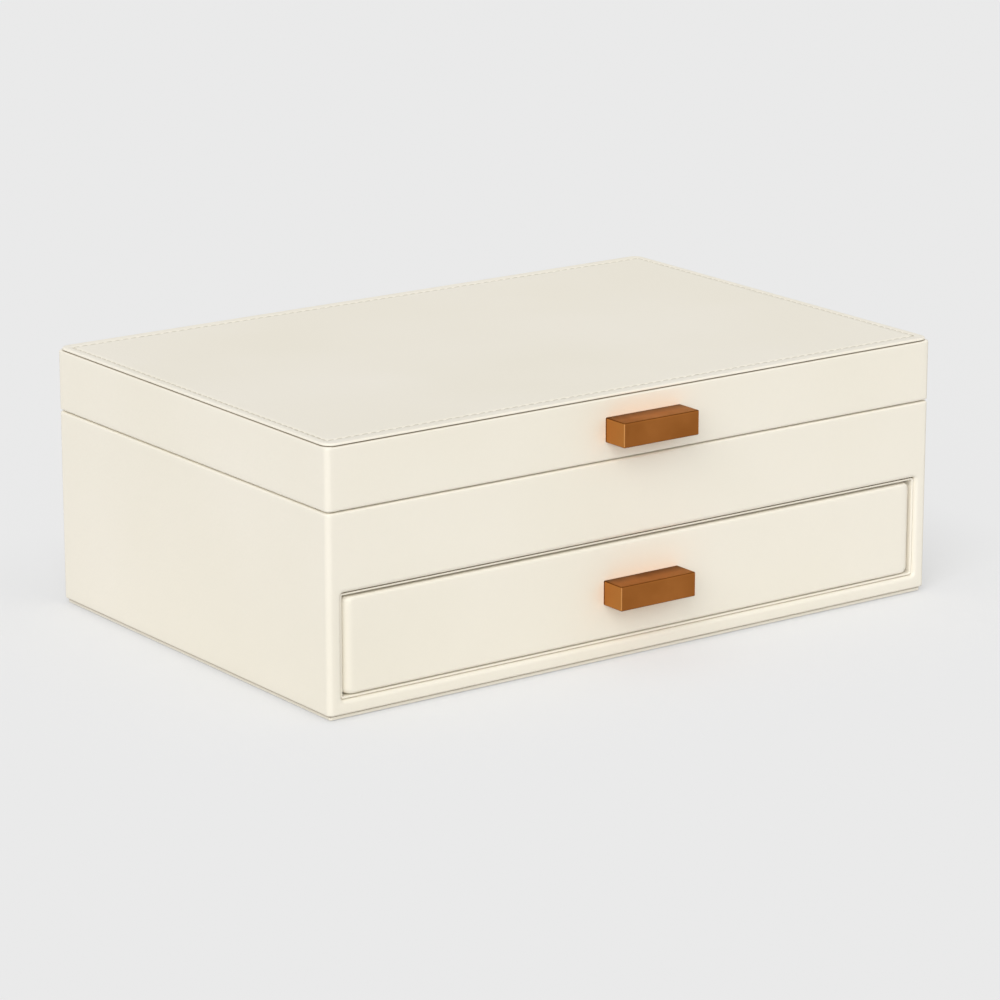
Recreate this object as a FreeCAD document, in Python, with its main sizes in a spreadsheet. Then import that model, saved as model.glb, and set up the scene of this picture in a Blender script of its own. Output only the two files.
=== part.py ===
import FreeCAD, Part
import Sketcher
import os
import re

# A ring box: a case of thin boards under a glued faux-leather skin, with a hinged lid over a tray of
# ring rolls and one drawer below it. Millimetres. +Z is up, the front faces -Y, and the origin is
# the middle of the underside, on the surface that the box stands on.
#
# "Sizes" holds the driving dimensions, and "Levels" holds the planes that are worked out from them:
# every sketch and box below is bound to those two, so that pieces that meet share one value.

SIZES = {
    # whole box
    "box_width": "282",
    "box_depth": "186",
    "case_height": "75.8",
    "lid_height": "23.9",
    "seam_gap": "0.3",
    "corner_radius": "2.2",
    "fold_radius": "0.9",
    # skin and boards
    "skin": "0.8",
    "board": "3.5",
    "lid_board": "2.7",
    "top_board": "3.0",
    "shelf": "2.5",
    "turn_in": "15",
    "underside_turn_in": "12",
    # underside
    "felt": "0.5",
    "felt_inset": "6",
    "base_plate": "1.5",
    "plate_inset": "0.6",
    "plate_bevel": "0.35",
    # stitched panel on the lid
    "panel": "1.2",
    "panel_inset": "0.3",
    "panel_round": "0.8",
    # drawer opening
    "sill": "5.6",
    "opening_height": "39.9",
    "opening_corner": "1.2",
    "opening_fold": "1.6",
    "sleeve": "1.3",
    "sleeve_recess": "0.9",
    # tray
    "tray_pad": "1.0",
    "liner": "2.0",
    "liner_rise": "4.0",
    "divider": "2.5",
    "tray_divider_height": "20",
    "ring_bay": "178",
    "roll_count": "8",
    "roll_height": "20",
    "soft_clearance": "0.3",
    # lid lining
    "lid_pad": "1.5",
    "wall_cloth": "0.3",
    # drawer
    "drawer_gap": "0.9",
    "drawer_lift": "0.3",
    "drawer_recess": "1.0",
    "drawer_back_gap": "2.0",
    "front_board": "5.0",
    "front_corner": "2.4",
    "front_round": "2.0",
    "drawer_board": "3.0",
    "drawer_bottom": "2.5",
    "drawer_wall_drop": "4.2",
    "drawer_cloth": "0.8",
    "drawer_divider_drop": "8.0",
    "drawer_middle": "92",
    # bar pulls
    "pull_length": "35",
    "pull_height": "9.5",
    "pull_depth": "11.3",
    "pull_bevel": "0.35",
    "lid_pull_rise": "11.5",
    "drawer_pull_rise": "19.3",
    "pull_screw_spacing": "20",
    "pull_screw_radius": "1.5",
    "pull_screw_head": "2.6",
    "pull_screw_head_height": "1.5",
    "pull_screw_grip": "6.0",
    # hinges
    "hinge_offset": "80",
    "hinge_length": "30",
    "leaf": "0.8",
    "leaf_height": "12",
    "plate_gap": "0.4",
    "leaf_screw_rise": "7.5",
    "barrel_radius": "2.0",
    "barrel_clearance": "0.35",
    "knuckle_gap": "0.2",
    "pin_radius": "1.0",
    "pin_clearance": "0.05",
    "pin_head_radius": "1.5",
    "pin_head": "0.6",
    "stop_angle": "95.5",
    "stop_reach": "4.4",
    "hinge_screw_radius": "0.9",
    "hinge_screw_countersink": "0.6",
    "hinge_screw_length": "3.8",
    "hinge_screw_spacing": "18",
    "screw_clearance": "0.05",
}

LEVELS = {
    # across the box, on the right-hand side
    "side": "box_width / 2",
    "board_outside": "side - skin",
    "board_inside": "board_outside - board",
    "opening_side": "board_inside - skin",
    "sleeve_side": "opening_side - sleeve",
    "lid_inside": "board_outside - lid_board",
    # from front to back
    "front": "-box_depth / 2",
    "back": "box_depth / 2",
    "boards_front": "front + skin",
    "turn_in_end": "boards_front + turn_in",
    "sleeve_front": "front + sleeve_recess",
    "boards_back": "back - skin",
    "inner_front": "boards_front + board",
    "inner_back": "boards_back - board",
    "lid_inner_front": "boards_front + lid_board",
    "lid_inner_back": "boards_back - lid_board",
    # upwards
    "plate_top": "felt + base_plate",
    "boards_low": "plate_top + skin",
    "bay_floor": "plate_top + sill",
    "sleeve_low": "bay_floor + sleeve",
    "bottom_board_top": "bay_floor - skin",
    "opening_top": "bay_floor + opening_height",
    "sleeve_high": "opening_top - sleeve",
    "rail_low": "opening_top + skin",
    "shelf_top": "rail_low + shelf",
    "tray_floor": "shelf_top + tray_pad",
    "rim": "plate_top + case_height",
    "boards_high": "rim - skin",
    "liner_top": "rim + liner_rise",
    "lid_low": "rim + seam_gap",
    "lid_boards_low": "lid_low + skin",
    "lid_top": "lid_low + lid_height",
    "lid_boards_high": "lid_top - skin",
    "top_board_low": "lid_boards_high - top_board",
    "lid_pad_low": "top_board_low - lid_pad",
    # rounding that the skin leaves for the boards inside it
    "board_corner": "min(corner_radius - skin; board - 0.1)",
    "lid_board_corner": "min(corner_radius - skin; lid_board - 0.1)",
    # tray
    "tray_side": "board_inside - liner",
    "tray_front": "inner_front + liner",
    "tray_back": "inner_back - liner",
    "tray_split": "ring_bay - tray_side",
    "roll_pitch": "(tray_back - tray_front) / roll_count",
    "roll_width": "roll_pitch - 2 * soft_clearance",
    # drawer
    "drawer_side": "sleeve_side - drawer_gap",
    "drawer_inside": "drawer_side - drawer_board",
    "drawer_face": "front + drawer_recess",
    "front_board_front": "drawer_face + skin",
    "front_board_back": "front_board_front + front_board",
    "face_low": "sleeve_low + drawer_gap",
    "face_high": "sleeve_high - drawer_gap",
    "drawer_low": "sleeve_low + drawer_lift",
    "drawer_floor": "drawer_low + drawer_bottom",
    "drawer_wall_top": "face_high - drawer_wall_drop",
    "drawer_end": "inner_back - drawer_back_gap",
    "drawer_inner_end": "drawer_end - drawer_board",
    "cloth_side": "drawer_inside - drawer_cloth",
    "cloth_front": "front_board_back + drawer_cloth",
    "cloth_end": "drawer_inner_end - drawer_cloth",
    "cloth_floor": "drawer_floor + drawer_cloth",
    # pulls
    "lid_pull_height": "lid_low + lid_pull_rise",
    "drawer_pull_height": "bay_floor + drawer_pull_rise",
    # hinges
    "axis_back": "back + barrel_radius + barrel_clearance",
    "axis_up": "rim + seam_gap / 2",
    "knuckle": "hinge_length / 3",
    "leaf_back": "back + leaf",
    "case_screw_up": "axis_up - leaf_screw_rise",
    "lid_screw_up": "axis_up + leaf_screw_rise",
}

doc = FreeCAD.newDocument("RingBox")
sheet = doc.addObject("Spreadsheet::Sheet", "Sizes")
for row, (alias, number) in enumerate(SIZES.items(), start=1):
    sheet.set(f"A{row}", alias)
    sheet.set(f"B{row}", number)
    sheet.setAlias(f"B{row}", alias)
doc.recompute()
levels = doc.addObject("App::VarSet", "Levels")
PARTS = []


def full(expression):
    """An expression of plain size and level names, with the object that holds each put before it."""
    def owner(match):
        word = match.group(0)
        if word in SIZES:
            return "Sizes." + word
        if word in LEVELS:
            return "Levels." + word
        return word
    return re.sub(r"[a-z_]+", owner, str(expression))


def bind(item, field, expression):
    item.setExpression(field, full(expression))


def value(expression):
    """The number that an expression gives now."""
    return float(levels.evalExpression(full(expression)))


for alias, expression in LEVELS.items():
    levels.addProperty("App::PropertyFloat", alias, "Levels")
    bind(levels, alias, expression)
    doc.recompute()


# ---------------------------------------------------------------- sketches and features

def new_body(label):
    body = doc.addObject("PartDesign::Body", label)
    body.Label = label
    PARTS.append(body)
    return body


def new_sketch(body, name, plane, offset):
    """A sketch on one of the body's own planes, moved to offset along +X, +Y or +Z."""
    sketch = body.newObject("Sketcher::SketchObject", name)
    support = [item for item in body.Origin.OriginFeatures if item.Role == plane + "_Plane"]
    sketch.AttachmentSupport = [(support[0], "")]
    sketch.MapMode = "FlatFace"
    # the normal of the XZ plane points to the front, which is -Y
    bind(sketch, "AttachmentOffset.Base.z", f"-({offset})" if plane == "XZ" else offset)
    return sketch


def hold(sketch, kind, geometry, point, expression):
    """Ties one point of the sketch to the origin at a distance that the expression gives."""
    index = sketch.addConstraint(
        Sketcher.Constraint(kind, -1, 1, geometry, point, value(expression)))
    sketch.setExpression(f"Constraints[{index}]", full(expression))


def draw_polygon(sketch, points):
    """Straight lines through points given as pairs of expressions."""
    spots = [FreeCAD.Vector(value(across), value(up), 0) for across, up in points]
    count = len(points)
    lines = []
    for index in range(count):
        line = Part.LineSegment(spots[index], spots[(index + 1) % count])
        lines.append(sketch.addGeometry(line, False))
    for index in range(count):
        sketch.addConstraint(
            Sketcher.Constraint("Coincident", lines[index], 2, lines[(index + 1) % count], 1))
    for line, (across, up) in zip(lines, points):
        hold(sketch, "DistanceX", line, 1, across)
        hold(sketch, "DistanceY", line, 1, up)


def draw_rectangle(sketch, left, right, low, high, radius=None):
    """A rectangle between four expressions, with tangent corner arcs where a radius is given."""
    if radius is None:
        draw_polygon(sketch, [(left, low), (right, low), (right, high), (left, high)])
        return
    x0, x1, y0, y1, r = (value(item) for item in (left, right, low, high, radius))
    ends = [
        ((x0 + r, y0), (x1 - r, y0)),
        ((x1, y0 + r), (x1, y1 - r)),
        ((x1 - r, y1), (x0 + r, y1)),
        ((x0, y1 - r), (x0, y0 + r)),
    ]
    centres = [(x1 - r, y0 + r), (x1 - r, y1 - r), (x0 + r, y1 - r), (x0 + r, y0 + r)]
    up = FreeCAD.Vector(0, 0, 1)
    quarter = 1.5707963267948966
    lines = []
    arcs = []
    for index in range(4):
        start, end = (FreeCAD.Vector(*spot, 0) for spot in ends[index])
        lines.append(sketch.addGeometry(Part.LineSegment(start, end), False))
        circle = Part.Circle(FreeCAD.Vector(*centres[index], 0), up, r)
        arc = Part.ArcOfCircle(circle, (index - 1) * quarter, index * quarter)
        arcs.append(sketch.addGeometry(arc, False))
    for index in range(4):
        following = lines[(index + 1) % 4]
        sketch.addConstraint(Sketcher.Constraint("Tangent", lines[index], 2, arcs[index], 1))
        sketch.addConstraint(Sketcher.Constraint("Tangent", arcs[index], 2, following, 1))
        flat = "Horizontal" if index % 2 == 0 else "Vertical"
        sketch.addConstraint(Sketcher.Constraint(flat, lines[index]))
        if index:
            sketch.addConstraint(Sketcher.Constraint("Equal", arcs[0], arcs[index]))
    corner = sketch.addConstraint(Sketcher.Constraint("Radius", arcs[0], r))
    sketch.setExpression(f"Constraints[{corner}]", full(radius))
    hold(sketch, "DistanceY", lines[0], 1, low)
    hold(sketch, "DistanceX", lines[1], 1, right)
    hold(sketch, "DistanceY", lines[2], 1, high)
    hold(sketch, "DistanceX", lines[3], 1, left)


def draw_circle(sketch, across, up, radius):
    centre = FreeCAD.Vector(value(across), value(up), 0)
    circle = sketch.addGeometry(
        Part.Circle(centre, FreeCAD.Vector(0, 0, 1), value(radius)), False)
    size = sketch.addConstraint(Sketcher.Constraint("Radius", circle, value(radius)))
    sketch.setExpression(f"Constraints[{size}]", full(radius))
    hold(sketch, "DistanceX", circle, 3, across)
    hold(sketch, "DistanceY", circle, 3, up)


def extrude(body, kind, name, plane, start, end, draw, *outlines):
    """A Pad or Pocket from start to end along +X, +Y or +Z, of one outline or several."""
    sketch = new_sketch(body, name + "_outline", plane, start)
    for outline in outlines:
        draw(sketch, *outline)
    feature = body.newObject("PartDesign::" + kind, name)
    feature.Profile = sketch
    bind(feature, "Length", f"({end}) - ({start})")
    feature.Reversed = (kind == "Pocket") != (plane == "XZ")
    doc.recompute()
    return feature


def round_edges(body, name, radius, test, kind="Fillet"):
    """A Fillet or Chamfer on the edges of the body's last feature that pass the test."""
    last = body.Tip
    chosen = [f"Edge{index}" for index, edge in enumerate(last.Shape.Edges, start=1) if test(edge)]
    feature = body.newObject("PartDesign::" + kind, name)
    feature.Base = (last, chosen)
    bind(feature, "Radius" if kind == "Fillet" else "Size", radius)
    doc.recompute()
    return feature


def lies_in(axis, *places):
    """A test for edges that lie wholly in one of the planes given along the axis."""
    def test(edge):
        low = getattr(edge.BoundBox, axis + "Min")
        high = getattr(edge.BoundBox, axis + "Max")
        return any(abs(low - place) < 1e-4 and abs(high - place) < 1e-4 for place in places)
    return test


def stands_at(*spots):
    """A test for vertical edges that stand at one of the spots in plan."""
    def test(edge):
        box = edge.BoundBox
        return box.ZLength > 1e-3 and any(
            abs(box.XMin - x) < 1e-4 and abs(box.XMax - x) < 1e-4
            and abs(box.YMin - y) < 1e-4 and abs(box.YMax - y) < 1e-4 for x, y in spots)
    return test


def new_box(label, left, right, front, back, low, high):
    """A plain board between six planes."""
    box = doc.addObject("Part::Box", label)
    box.Label = label
    for side, start, end in (
            ("Length", left, right), ("Width", front, back), ("Height", low, high)):
        bind(box, side, f"({end}) - ({start})")
    bind(box, "Placement.Base.x", left)
    bind(box, "Placement.Base.y", front)
    bind(box, "Placement.Base.z", low)
    PARTS.append(box)
    return box


# ---------------------------------------------------------------- shared outlines

CASE_OUTLINE = ("-side", "side", "front", "back", "corner_radius")
CORE_OUTLINE = ("-board_outside", "board_outside", "boards_front", "boards_back", "board_corner")
LID_CORE = ("-board_outside", "board_outside", "boards_front", "boards_back", "lid_board_corner")
BAY_OUTSIDE = ("-board_inside", "board_inside", "bottom_board_top", "rail_low")
OPENING = ("-opening_side", "opening_side", "bay_floor", "opening_top", "opening_corner")
SLEEVE_INSIDE = ("-sleeve_side", "sleeve_side", "sleeve_low", "sleeve_high")
HINGE_SIDES = {"left": "-hinge_offset", "right": "hinge_offset"}


def hinge_screw_spots(up):
    """Where the hinge screws go, as pairs of expressions along X and Z."""
    half = "hinge_screw_spacing / 2"
    spots = []
    for centre in HINGE_SIDES.values():
        spots.append((f"{centre} - {half}", up))
        spots.append((f"{centre} + {half}", up))
    return spots


def pull_screw_spots(up):
    return [("-pull_screw_spacing / 2", up), ("pull_screw_spacing / 2", up)]


def drill(body, name, start, end, spots, radius):
    """Round holes along Y from start to end."""
    circles = [(across, up, radius) for across, up in spots]
    return extrude(body, "Pocket", name, "XZ", start, end, draw_circle, *circles)


# ---------------------------------------------------------------- underside

def make_base():
    felt = new_body("base_felt")
    extrude(felt, "Pad", "felt_sheet", "XY", "0", "felt", draw_rectangle,
            ("-side + felt_inset", "side - felt_inset",
             "front + felt_inset", "back - felt_inset", "corner_radius"))

    plate = new_body("base_plate")
    extrude(plate, "Pad", "plate", "XY", "felt", "plate_top", draw_rectangle,
            ("-side + plate_inset", "side - plate_inset",
             "front + plate_inset", "back - plate_inset", "corner_radius - plate_inset"))
    round_edges(plate, "plate_edge", "plate_bevel",
                lies_in("Z", value("felt"), value("plate_top")), "Chamfer")


# ---------------------------------------------------------------- case

def make_side_board(label, outside, inside, low, high, corner, hand):
    """An upright side board whose two outer corners follow the rounding of the skin."""
    board = new_body(label)
    left, right = sorted((outside, inside), key=value)
    extrude(board, "Pad", "board", "XY", low, high, draw_rectangle,
            (left, right, "boards_front", "boards_back"))
    edge = hand * value("board_outside")
    round_edges(board, "outer_corners", corner,
                stands_at((edge, value("boards_front")), (edge, value("boards_back"))))


def make_case_boards():
    new_box("bottom_board", "-board_inside", "board_inside",
            "boards_front", "boards_back", "boards_low", "bottom_board_top")
    make_side_board("side_board_left", "-board_outside", "-board_inside",
                    "boards_low", "boards_high", "board_corner", -1)
    make_side_board("side_board_right", "board_outside", "board_inside",
                    "boards_low", "boards_high", "board_corner", 1)
    new_box("front_rail", "-board_inside", "board_inside",
            "boards_front", "inner_front", "rail_low", "boards_high")
    new_box("shelf_board", "-board_inside", "board_inside",
            "inner_front", "inner_back", "rail_low", "shelf_top")

    back = new_body("back_board")
    extrude(back, "Pad", "board", "XY", "bottom_board_top", "boards_high", draw_rectangle,
            ("-board_inside", "board_inside", "inner_back", "boards_back"))
    drill(back, "screw_holes", "leaf_back - hinge_screw_length - screw_clearance", "boards_back",
          hinge_screw_spots("case_screw_up"), "hinge_screw_radius + screw_clearance")


def make_case_wrap():
    """The skin of the case: outside walls, rim, turn-in under the boards and into the drawer bay."""
    wrap = new_body("case_wrap")
    extrude(wrap, "Pad", "outside", "XY", "plate_top", "rim", draw_rectangle, CASE_OUTLINE)
    round_edges(wrap, "folds", "fold_radius", lies_in("Z", value("plate_top"), value("rim")))
    extrude(wrap, "Pocket", "room_for_boards", "XY", "boards_low", "boards_high",
            draw_rectangle, CORE_OUTLINE)
    extrude(wrap, "Pocket", "mouth", "XY", "boards_high", "rim", draw_rectangle,
            ("-board_inside", "board_inside", "inner_front", "inner_back"))
    extrude(wrap, "Pocket", "underside_window", "XY", "plate_top", "boards_low", draw_rectangle,
            ("-side + underside_turn_in", "side - underside_turn_in",
             "front + underside_turn_in", "back - underside_turn_in"))
    extrude(wrap, "Pad", "bay_turn_in", "XZ", "boards_front", "turn_in_end",
            draw_rectangle, BAY_OUTSIDE, OPENING)
    extrude(wrap, "Pocket", "drawer_opening", "XZ", "front", "boards_front",
            draw_rectangle, OPENING)
    in_front = lies_in("Y", value("front"))
    reach = value("opening_side") + 1e-3
    round_edges(wrap, "opening_fold", "opening_fold",
                lambda edge: in_front(edge) and abs(edge.CenterOfMass.x) < reach
                and value("bay_floor") - 1e-3 < edge.CenterOfMass.z < value("opening_top") + 1e-3)
    drill(wrap, "screw_holes", "boards_back", "back",
          hinge_screw_spots("case_screw_up"), "hinge_screw_radius + screw_clearance")

    # a covered sleeve, whose front edge shows as a thin border round the drawer
    lining = new_body("bay_lining")
    extrude(lining, "Pad", "sleeve", "XZ", "turn_in_end", "inner_back",
            draw_rectangle, BAY_OUTSIDE, SLEEVE_INSIDE)
    extrude(lining, "Pad", "sleeve_mouth", "XZ", "sleeve_front", "turn_in_end",
            draw_rectangle, OPENING, SLEEVE_INSIDE)


# ---------------------------------------------------------------- tray under the lid

def make_liner(label, left, right, front, back):
    """One upright strip of the inner frame that stands above the rim and locates the lid."""
    strip = new_body(label)
    extrude(strip, "Pad", "strip", "XY", "shelf_top", "liner_top", draw_rectangle,
            (left, right, front, back))
    round_edges(strip, "soft_top", "0.35 * liner", lies_in("Z", value("liner_top")))


def make_ring_roll(index):
    """A foam roll under cloth, flat below and round above, that runs across the ring bay."""
    roll = new_body(f"ring_roll_{index + 1}")
    front = f"tray_front + {index} * roll_pitch + soft_clearance"
    extrude(roll, "Pad", "roll", "XY", "tray_floor", "tray_floor + roll_height", draw_rectangle,
            ("-tray_side + soft_clearance", "tray_split - soft_clearance",
             front, f"{front} + roll_width"))
    length = value("ring_bay - 2 * soft_clearance")

    def along(height):
        at_height = lies_in("Z", value(height))
        return lambda edge: at_height(edge) and edge.Length > 0.9 * length
    round_edges(roll, "round_top", "0.45 * roll_width", along("tray_floor + roll_height"))
    round_edges(roll, "round_foot", "0.15 * roll_width", along("tray_floor"))


def make_tray():
    new_box("tray_floor_pad", "-tray_side", "tray_side", "tray_front", "tray_back",
            "shelf_top", "tray_floor")
    make_liner("rim_liner_front", "-board_inside", "board_inside", "inner_front", "tray_front")
    make_liner("rim_liner_back", "-board_inside", "board_inside", "tray_back", "inner_back")
    make_liner("rim_liner_left", "-board_inside", "-tray_side", "tray_front", "tray_back")
    make_liner("rim_liner_right", "tray_side", "board_inside", "tray_front", "tray_back")
    top = "tray_floor + tray_divider_height"
    new_box("tray_divider", "tray_split", "tray_split + divider", "tray_front", "tray_back",
            "tray_floor", top)
    new_box("tray_cross_divider", "tray_split + divider", "tray_side",
            "-divider / 2", "divider / 2", "tray_floor", top)
    for index in range(int(value("roll_count"))):
        make_ring_roll(index)


# ---------------------------------------------------------------- lid

def make_lid_boards():
    make_side_board("lid_side_left", "-board_outside", "-lid_inside",
                    "lid_boards_low", "top_board_low", "lid_board_corner", -1)
    make_side_board("lid_side_right", "board_outside", "lid_inside",
                    "lid_boards_low", "top_board_low", "lid_board_corner", 1)

    top = new_body("lid_top_board")
    extrude(top, "Pad", "board", "XY", "top_board_low", "lid_boards_high", draw_rectangle, LID_CORE)

    front = new_body("lid_front_board")
    extrude(front, "Pad", "board", "XY", "lid_boards_low", "top_board_low", draw_rectangle,
            ("-lid_inside", "lid_inside", "boards_front", "lid_inner_front"))
    drill(front, "screw_holes", "boards_front", "lid_inner_front",
          pull_screw_spots("lid_pull_height"), "pull_screw_radius + screw_clearance")

    back = new_body("lid_back_board")
    extrude(back, "Pad", "board", "XY", "lid_boards_low", "top_board_low", draw_rectangle,
            ("-lid_inside", "lid_inside", "lid_inner_back", "boards_back"))
    # the hinge screws end inside this board, or flush with its inner face where it is thinner
    drill(back, "screw_holes", "lid_inner_back", "boards_back",
          hinge_screw_spots("lid_screw_up"), "hinge_screw_radius + screw_clearance")


def make_lid_wrap():
    """The skin of the lid: outside walls, flat top under the panel, and turn-in at the seam."""
    wrap = new_body("lid_wrap")
    extrude(wrap, "Pad", "outside", "XY", "lid_low", "lid_top", draw_rectangle, CASE_OUTLINE)
    round_edges(wrap, "folds", "fold_radius", lies_in("Z", value("lid_low"), value("lid_top")))
    extrude(wrap, "Pocket", "room_for_boards", "XY", "lid_boards_low", "lid_boards_high",
            draw_rectangle, LID_CORE)
    extrude(wrap, "Pocket", "mouth", "XY", "lid_low", "lid_boards_low", draw_rectangle,
            ("-lid_inside", "lid_inside", "lid_inner_front", "lid_inner_back"))
    drill(wrap, "hinge_screw_holes", "boards_back", "back",
          hinge_screw_spots("lid_screw_up"), "hinge_screw_radius + screw_clearance")
    drill(wrap, "pull_screw_holes", "front", "boards_front",
          pull_screw_spots("lid_pull_height"), "pull_screw_radius + screw_clearance")

    panel = new_body("lid_top_panel")
    extrude(panel, "Pad", "panel", "XY", "lid_top", "lid_top + panel", draw_rectangle,
            ("-side + panel_inset", "side - panel_inset",
             "front + panel_inset", "back - panel_inset", "corner_radius - panel_inset"))
    round_edges(panel, "panel_edge", "panel_round", lies_in("Z", value("lid_top + panel")))


def make_lid_lining():
    cloth = new_body("lid_wall_lining")
    extrude(cloth, "Pad", "cloth", "XY", "lid_boards_low", "top_board_low", draw_rectangle,
            ("-lid_inside", "lid_inside", "lid_inner_front", "lid_inner_back"),
            ("-lid_inside + wall_cloth", "lid_inside - wall_cloth",
             "lid_inner_front + wall_cloth", "lid_inner_back - wall_cloth"))
    drill(cloth, "screw_head_holes", "lid_inner_front", "lid_inner_front + wall_cloth",
          pull_screw_spots("lid_pull_height"), "pull_screw_head + screw_clearance")
    new_box("lid_pad", "-lid_inside + wall_cloth", "lid_inside - wall_cloth",
            "lid_inner_front + wall_cloth", "lid_inner_back - wall_cloth",
            "lid_pad_low", "top_board_low")


# ---------------------------------------------------------------- drawer

def make_drawer_front():
    board = new_body("drawer_front_board")
    core = ("-drawer_side + skin", "drawer_side - skin", "face_low + skin", "face_high - skin",
            "front_corner - skin")
    extrude(board, "Pad", "board", "XZ", "front_board_front", "front_board_back",
            draw_rectangle, core)
    drill(board, "screw_holes", "front_board_front", "front_board_back",
          pull_screw_spots("drawer_pull_height"), "pull_screw_radius + screw_clearance")

    wrap = new_body("drawer_front_wrap")
    extrude(wrap, "Pad", "outside", "XZ", "drawer_face", "front_board_back", draw_rectangle,
            ("-drawer_side", "drawer_side", "face_low", "face_high", "front_corner"))
    round_edges(wrap, "soft_front", "front_round", lies_in("Y", value("drawer_face")))
    extrude(wrap, "Pocket", "room_for_board", "XZ", "front_board_front", "front_board_back",
            draw_rectangle, core)
    drill(wrap, "screw_holes", "drawer_face", "front_board_front",
          pull_screw_spots("drawer_pull_height"), "pull_screw_radius + screw_clearance")


def make_drawer_box():
    new_box("drawer_bottom", "-drawer_side", "drawer_side",
            "front_board_back", "drawer_end", "drawer_low", "drawer_floor")
    new_box("drawer_side_left", "-drawer_side", "-drawer_inside",
            "front_board_back", "drawer_end", "drawer_floor", "drawer_wall_top")
    new_box("drawer_side_right", "drawer_inside", "drawer_side",
            "front_board_back", "drawer_end", "drawer_floor", "drawer_wall_top")
    new_box("drawer_back", "-drawer_inside", "drawer_inside",
            "drawer_inner_end", "drawer_end", "drawer_floor", "drawer_wall_top")

    lining = new_body("drawer_lining")
    extrude(lining, "Pad", "cloth", "XY", "drawer_floor", "drawer_wall_top", draw_rectangle,
            ("-drawer_inside", "drawer_inside", "front_board_back", "drawer_inner_end"))
    extrude(lining, "Pocket", "room", "XY", "cloth_floor", "drawer_wall_top", draw_rectangle,
            ("-cloth_side", "cloth_side", "cloth_front", "cloth_end"))
    drill(lining, "screw_head_holes", "front_board_back", "cloth_front",
          pull_screw_spots("drawer_pull_height"), "pull_screw_head + screw_clearance")


def make_drawer_dividers():
    top = "drawer_wall_top - drawer_divider_drop"
    inner = "drawer_middle / 2"
    new_box("drawer_divider_left", f"-{inner} - divider", f"-{inner}",
            "cloth_front", "cloth_end", "cloth_floor", top)
    new_box("drawer_divider_right", inner, f"{inner} + divider",
            "cloth_front", "cloth_end", "cloth_floor", top)
    middle = "(cloth_front + cloth_end) / 2"
    new_box("drawer_cross_divider", f"-{inner}", inner,
            f"{middle} - divider / 2", f"{middle} + divider / 2", "cloth_floor", top)


# ---------------------------------------------------------------- pulls

def make_pull(label, face, up):
    """A square-edged bar pull against the face, with blind holes for its two screws."""
    pull = new_body(label)
    start = f"{face} - pull_depth"
    extrude(pull, "Pad", "bar", "XZ", start, face, draw_rectangle,
            ("-pull_length / 2", "pull_length / 2",
             f"{up} - pull_height / 2", f"{up} + pull_height / 2"))
    at_face = lies_in("Y", value(face))
    round_edges(pull, "bevel", "pull_bevel", lambda edge: not at_face(edge), "Chamfer")
    drill(pull, "screw_holes", f"{face} - pull_screw_grip - screw_clearance", face,
          pull_screw_spots(up), "pull_screw_radius + screw_clearance")


def new_rod(name, radius, start, end, across, up, far_radius=None):
    """A cylinder, or a cone where the far radius differs, that lies along +Y from start to end."""
    rod = doc.addObject("Part::Cylinder" if far_radius is None else "Part::Cone", name)
    bind(rod, "Radius" if far_radius is None else "Radius1", radius)
    if far_radius is not None:
        bind(rod, "Radius2", far_radius)
    bind(rod, "Height", f"({end}) - ({start})")
    rod.Placement.Rotation = FreeCAD.Rotation(FreeCAD.Vector(1, 0, 0), -90)
    bind(rod, "Placement.Base.x", across)
    bind(rod, "Placement.Base.y", start)
    bind(rod, "Placement.Base.z", up)
    return rod


def group_screws(label, spots, shank, head):
    """One node of separate screws; shank and head are the arguments of their rods."""
    screws = []
    for index, (across, up) in enumerate(spots, start=1):
        rods = []
        for kind, (radius, start, end, *far_radius) in (("shank", shank), ("head", head)):
            rods.append(new_rod(f"{label}_{index}_{kind}", radius, start, end, across, up,
                                *far_radius))
        screw = doc.addObject("Part::Fuse", f"{label}_{index}")
        screw.Base, screw.Tool = rods
        screws.append(screw)
    group = doc.addObject("Part::Compound", label)
    group.Label = label
    group.Links = screws
    PARTS.append(group)


def make_pulls():
    make_pull("lid_pull", "front", "lid_pull_height")
    make_pull("drawer_pull", "drawer_face", "drawer_pull_height")
    for label, face, seat, up in (
            ("lid_pull_screws", "front", "lid_inner_front", "lid_pull_height"),
            ("drawer_pull_screws", "drawer_face", "front_board_back", "drawer_pull_height")):
        group_screws(label, pull_screw_spots(up),
                     ("pull_screw_radius", f"{face} - pull_screw_grip", seat),
                     ("pull_screw_head", seat, f"{seat} + pull_screw_head_height"))


# ---------------------------------------------------------------- hinges

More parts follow.
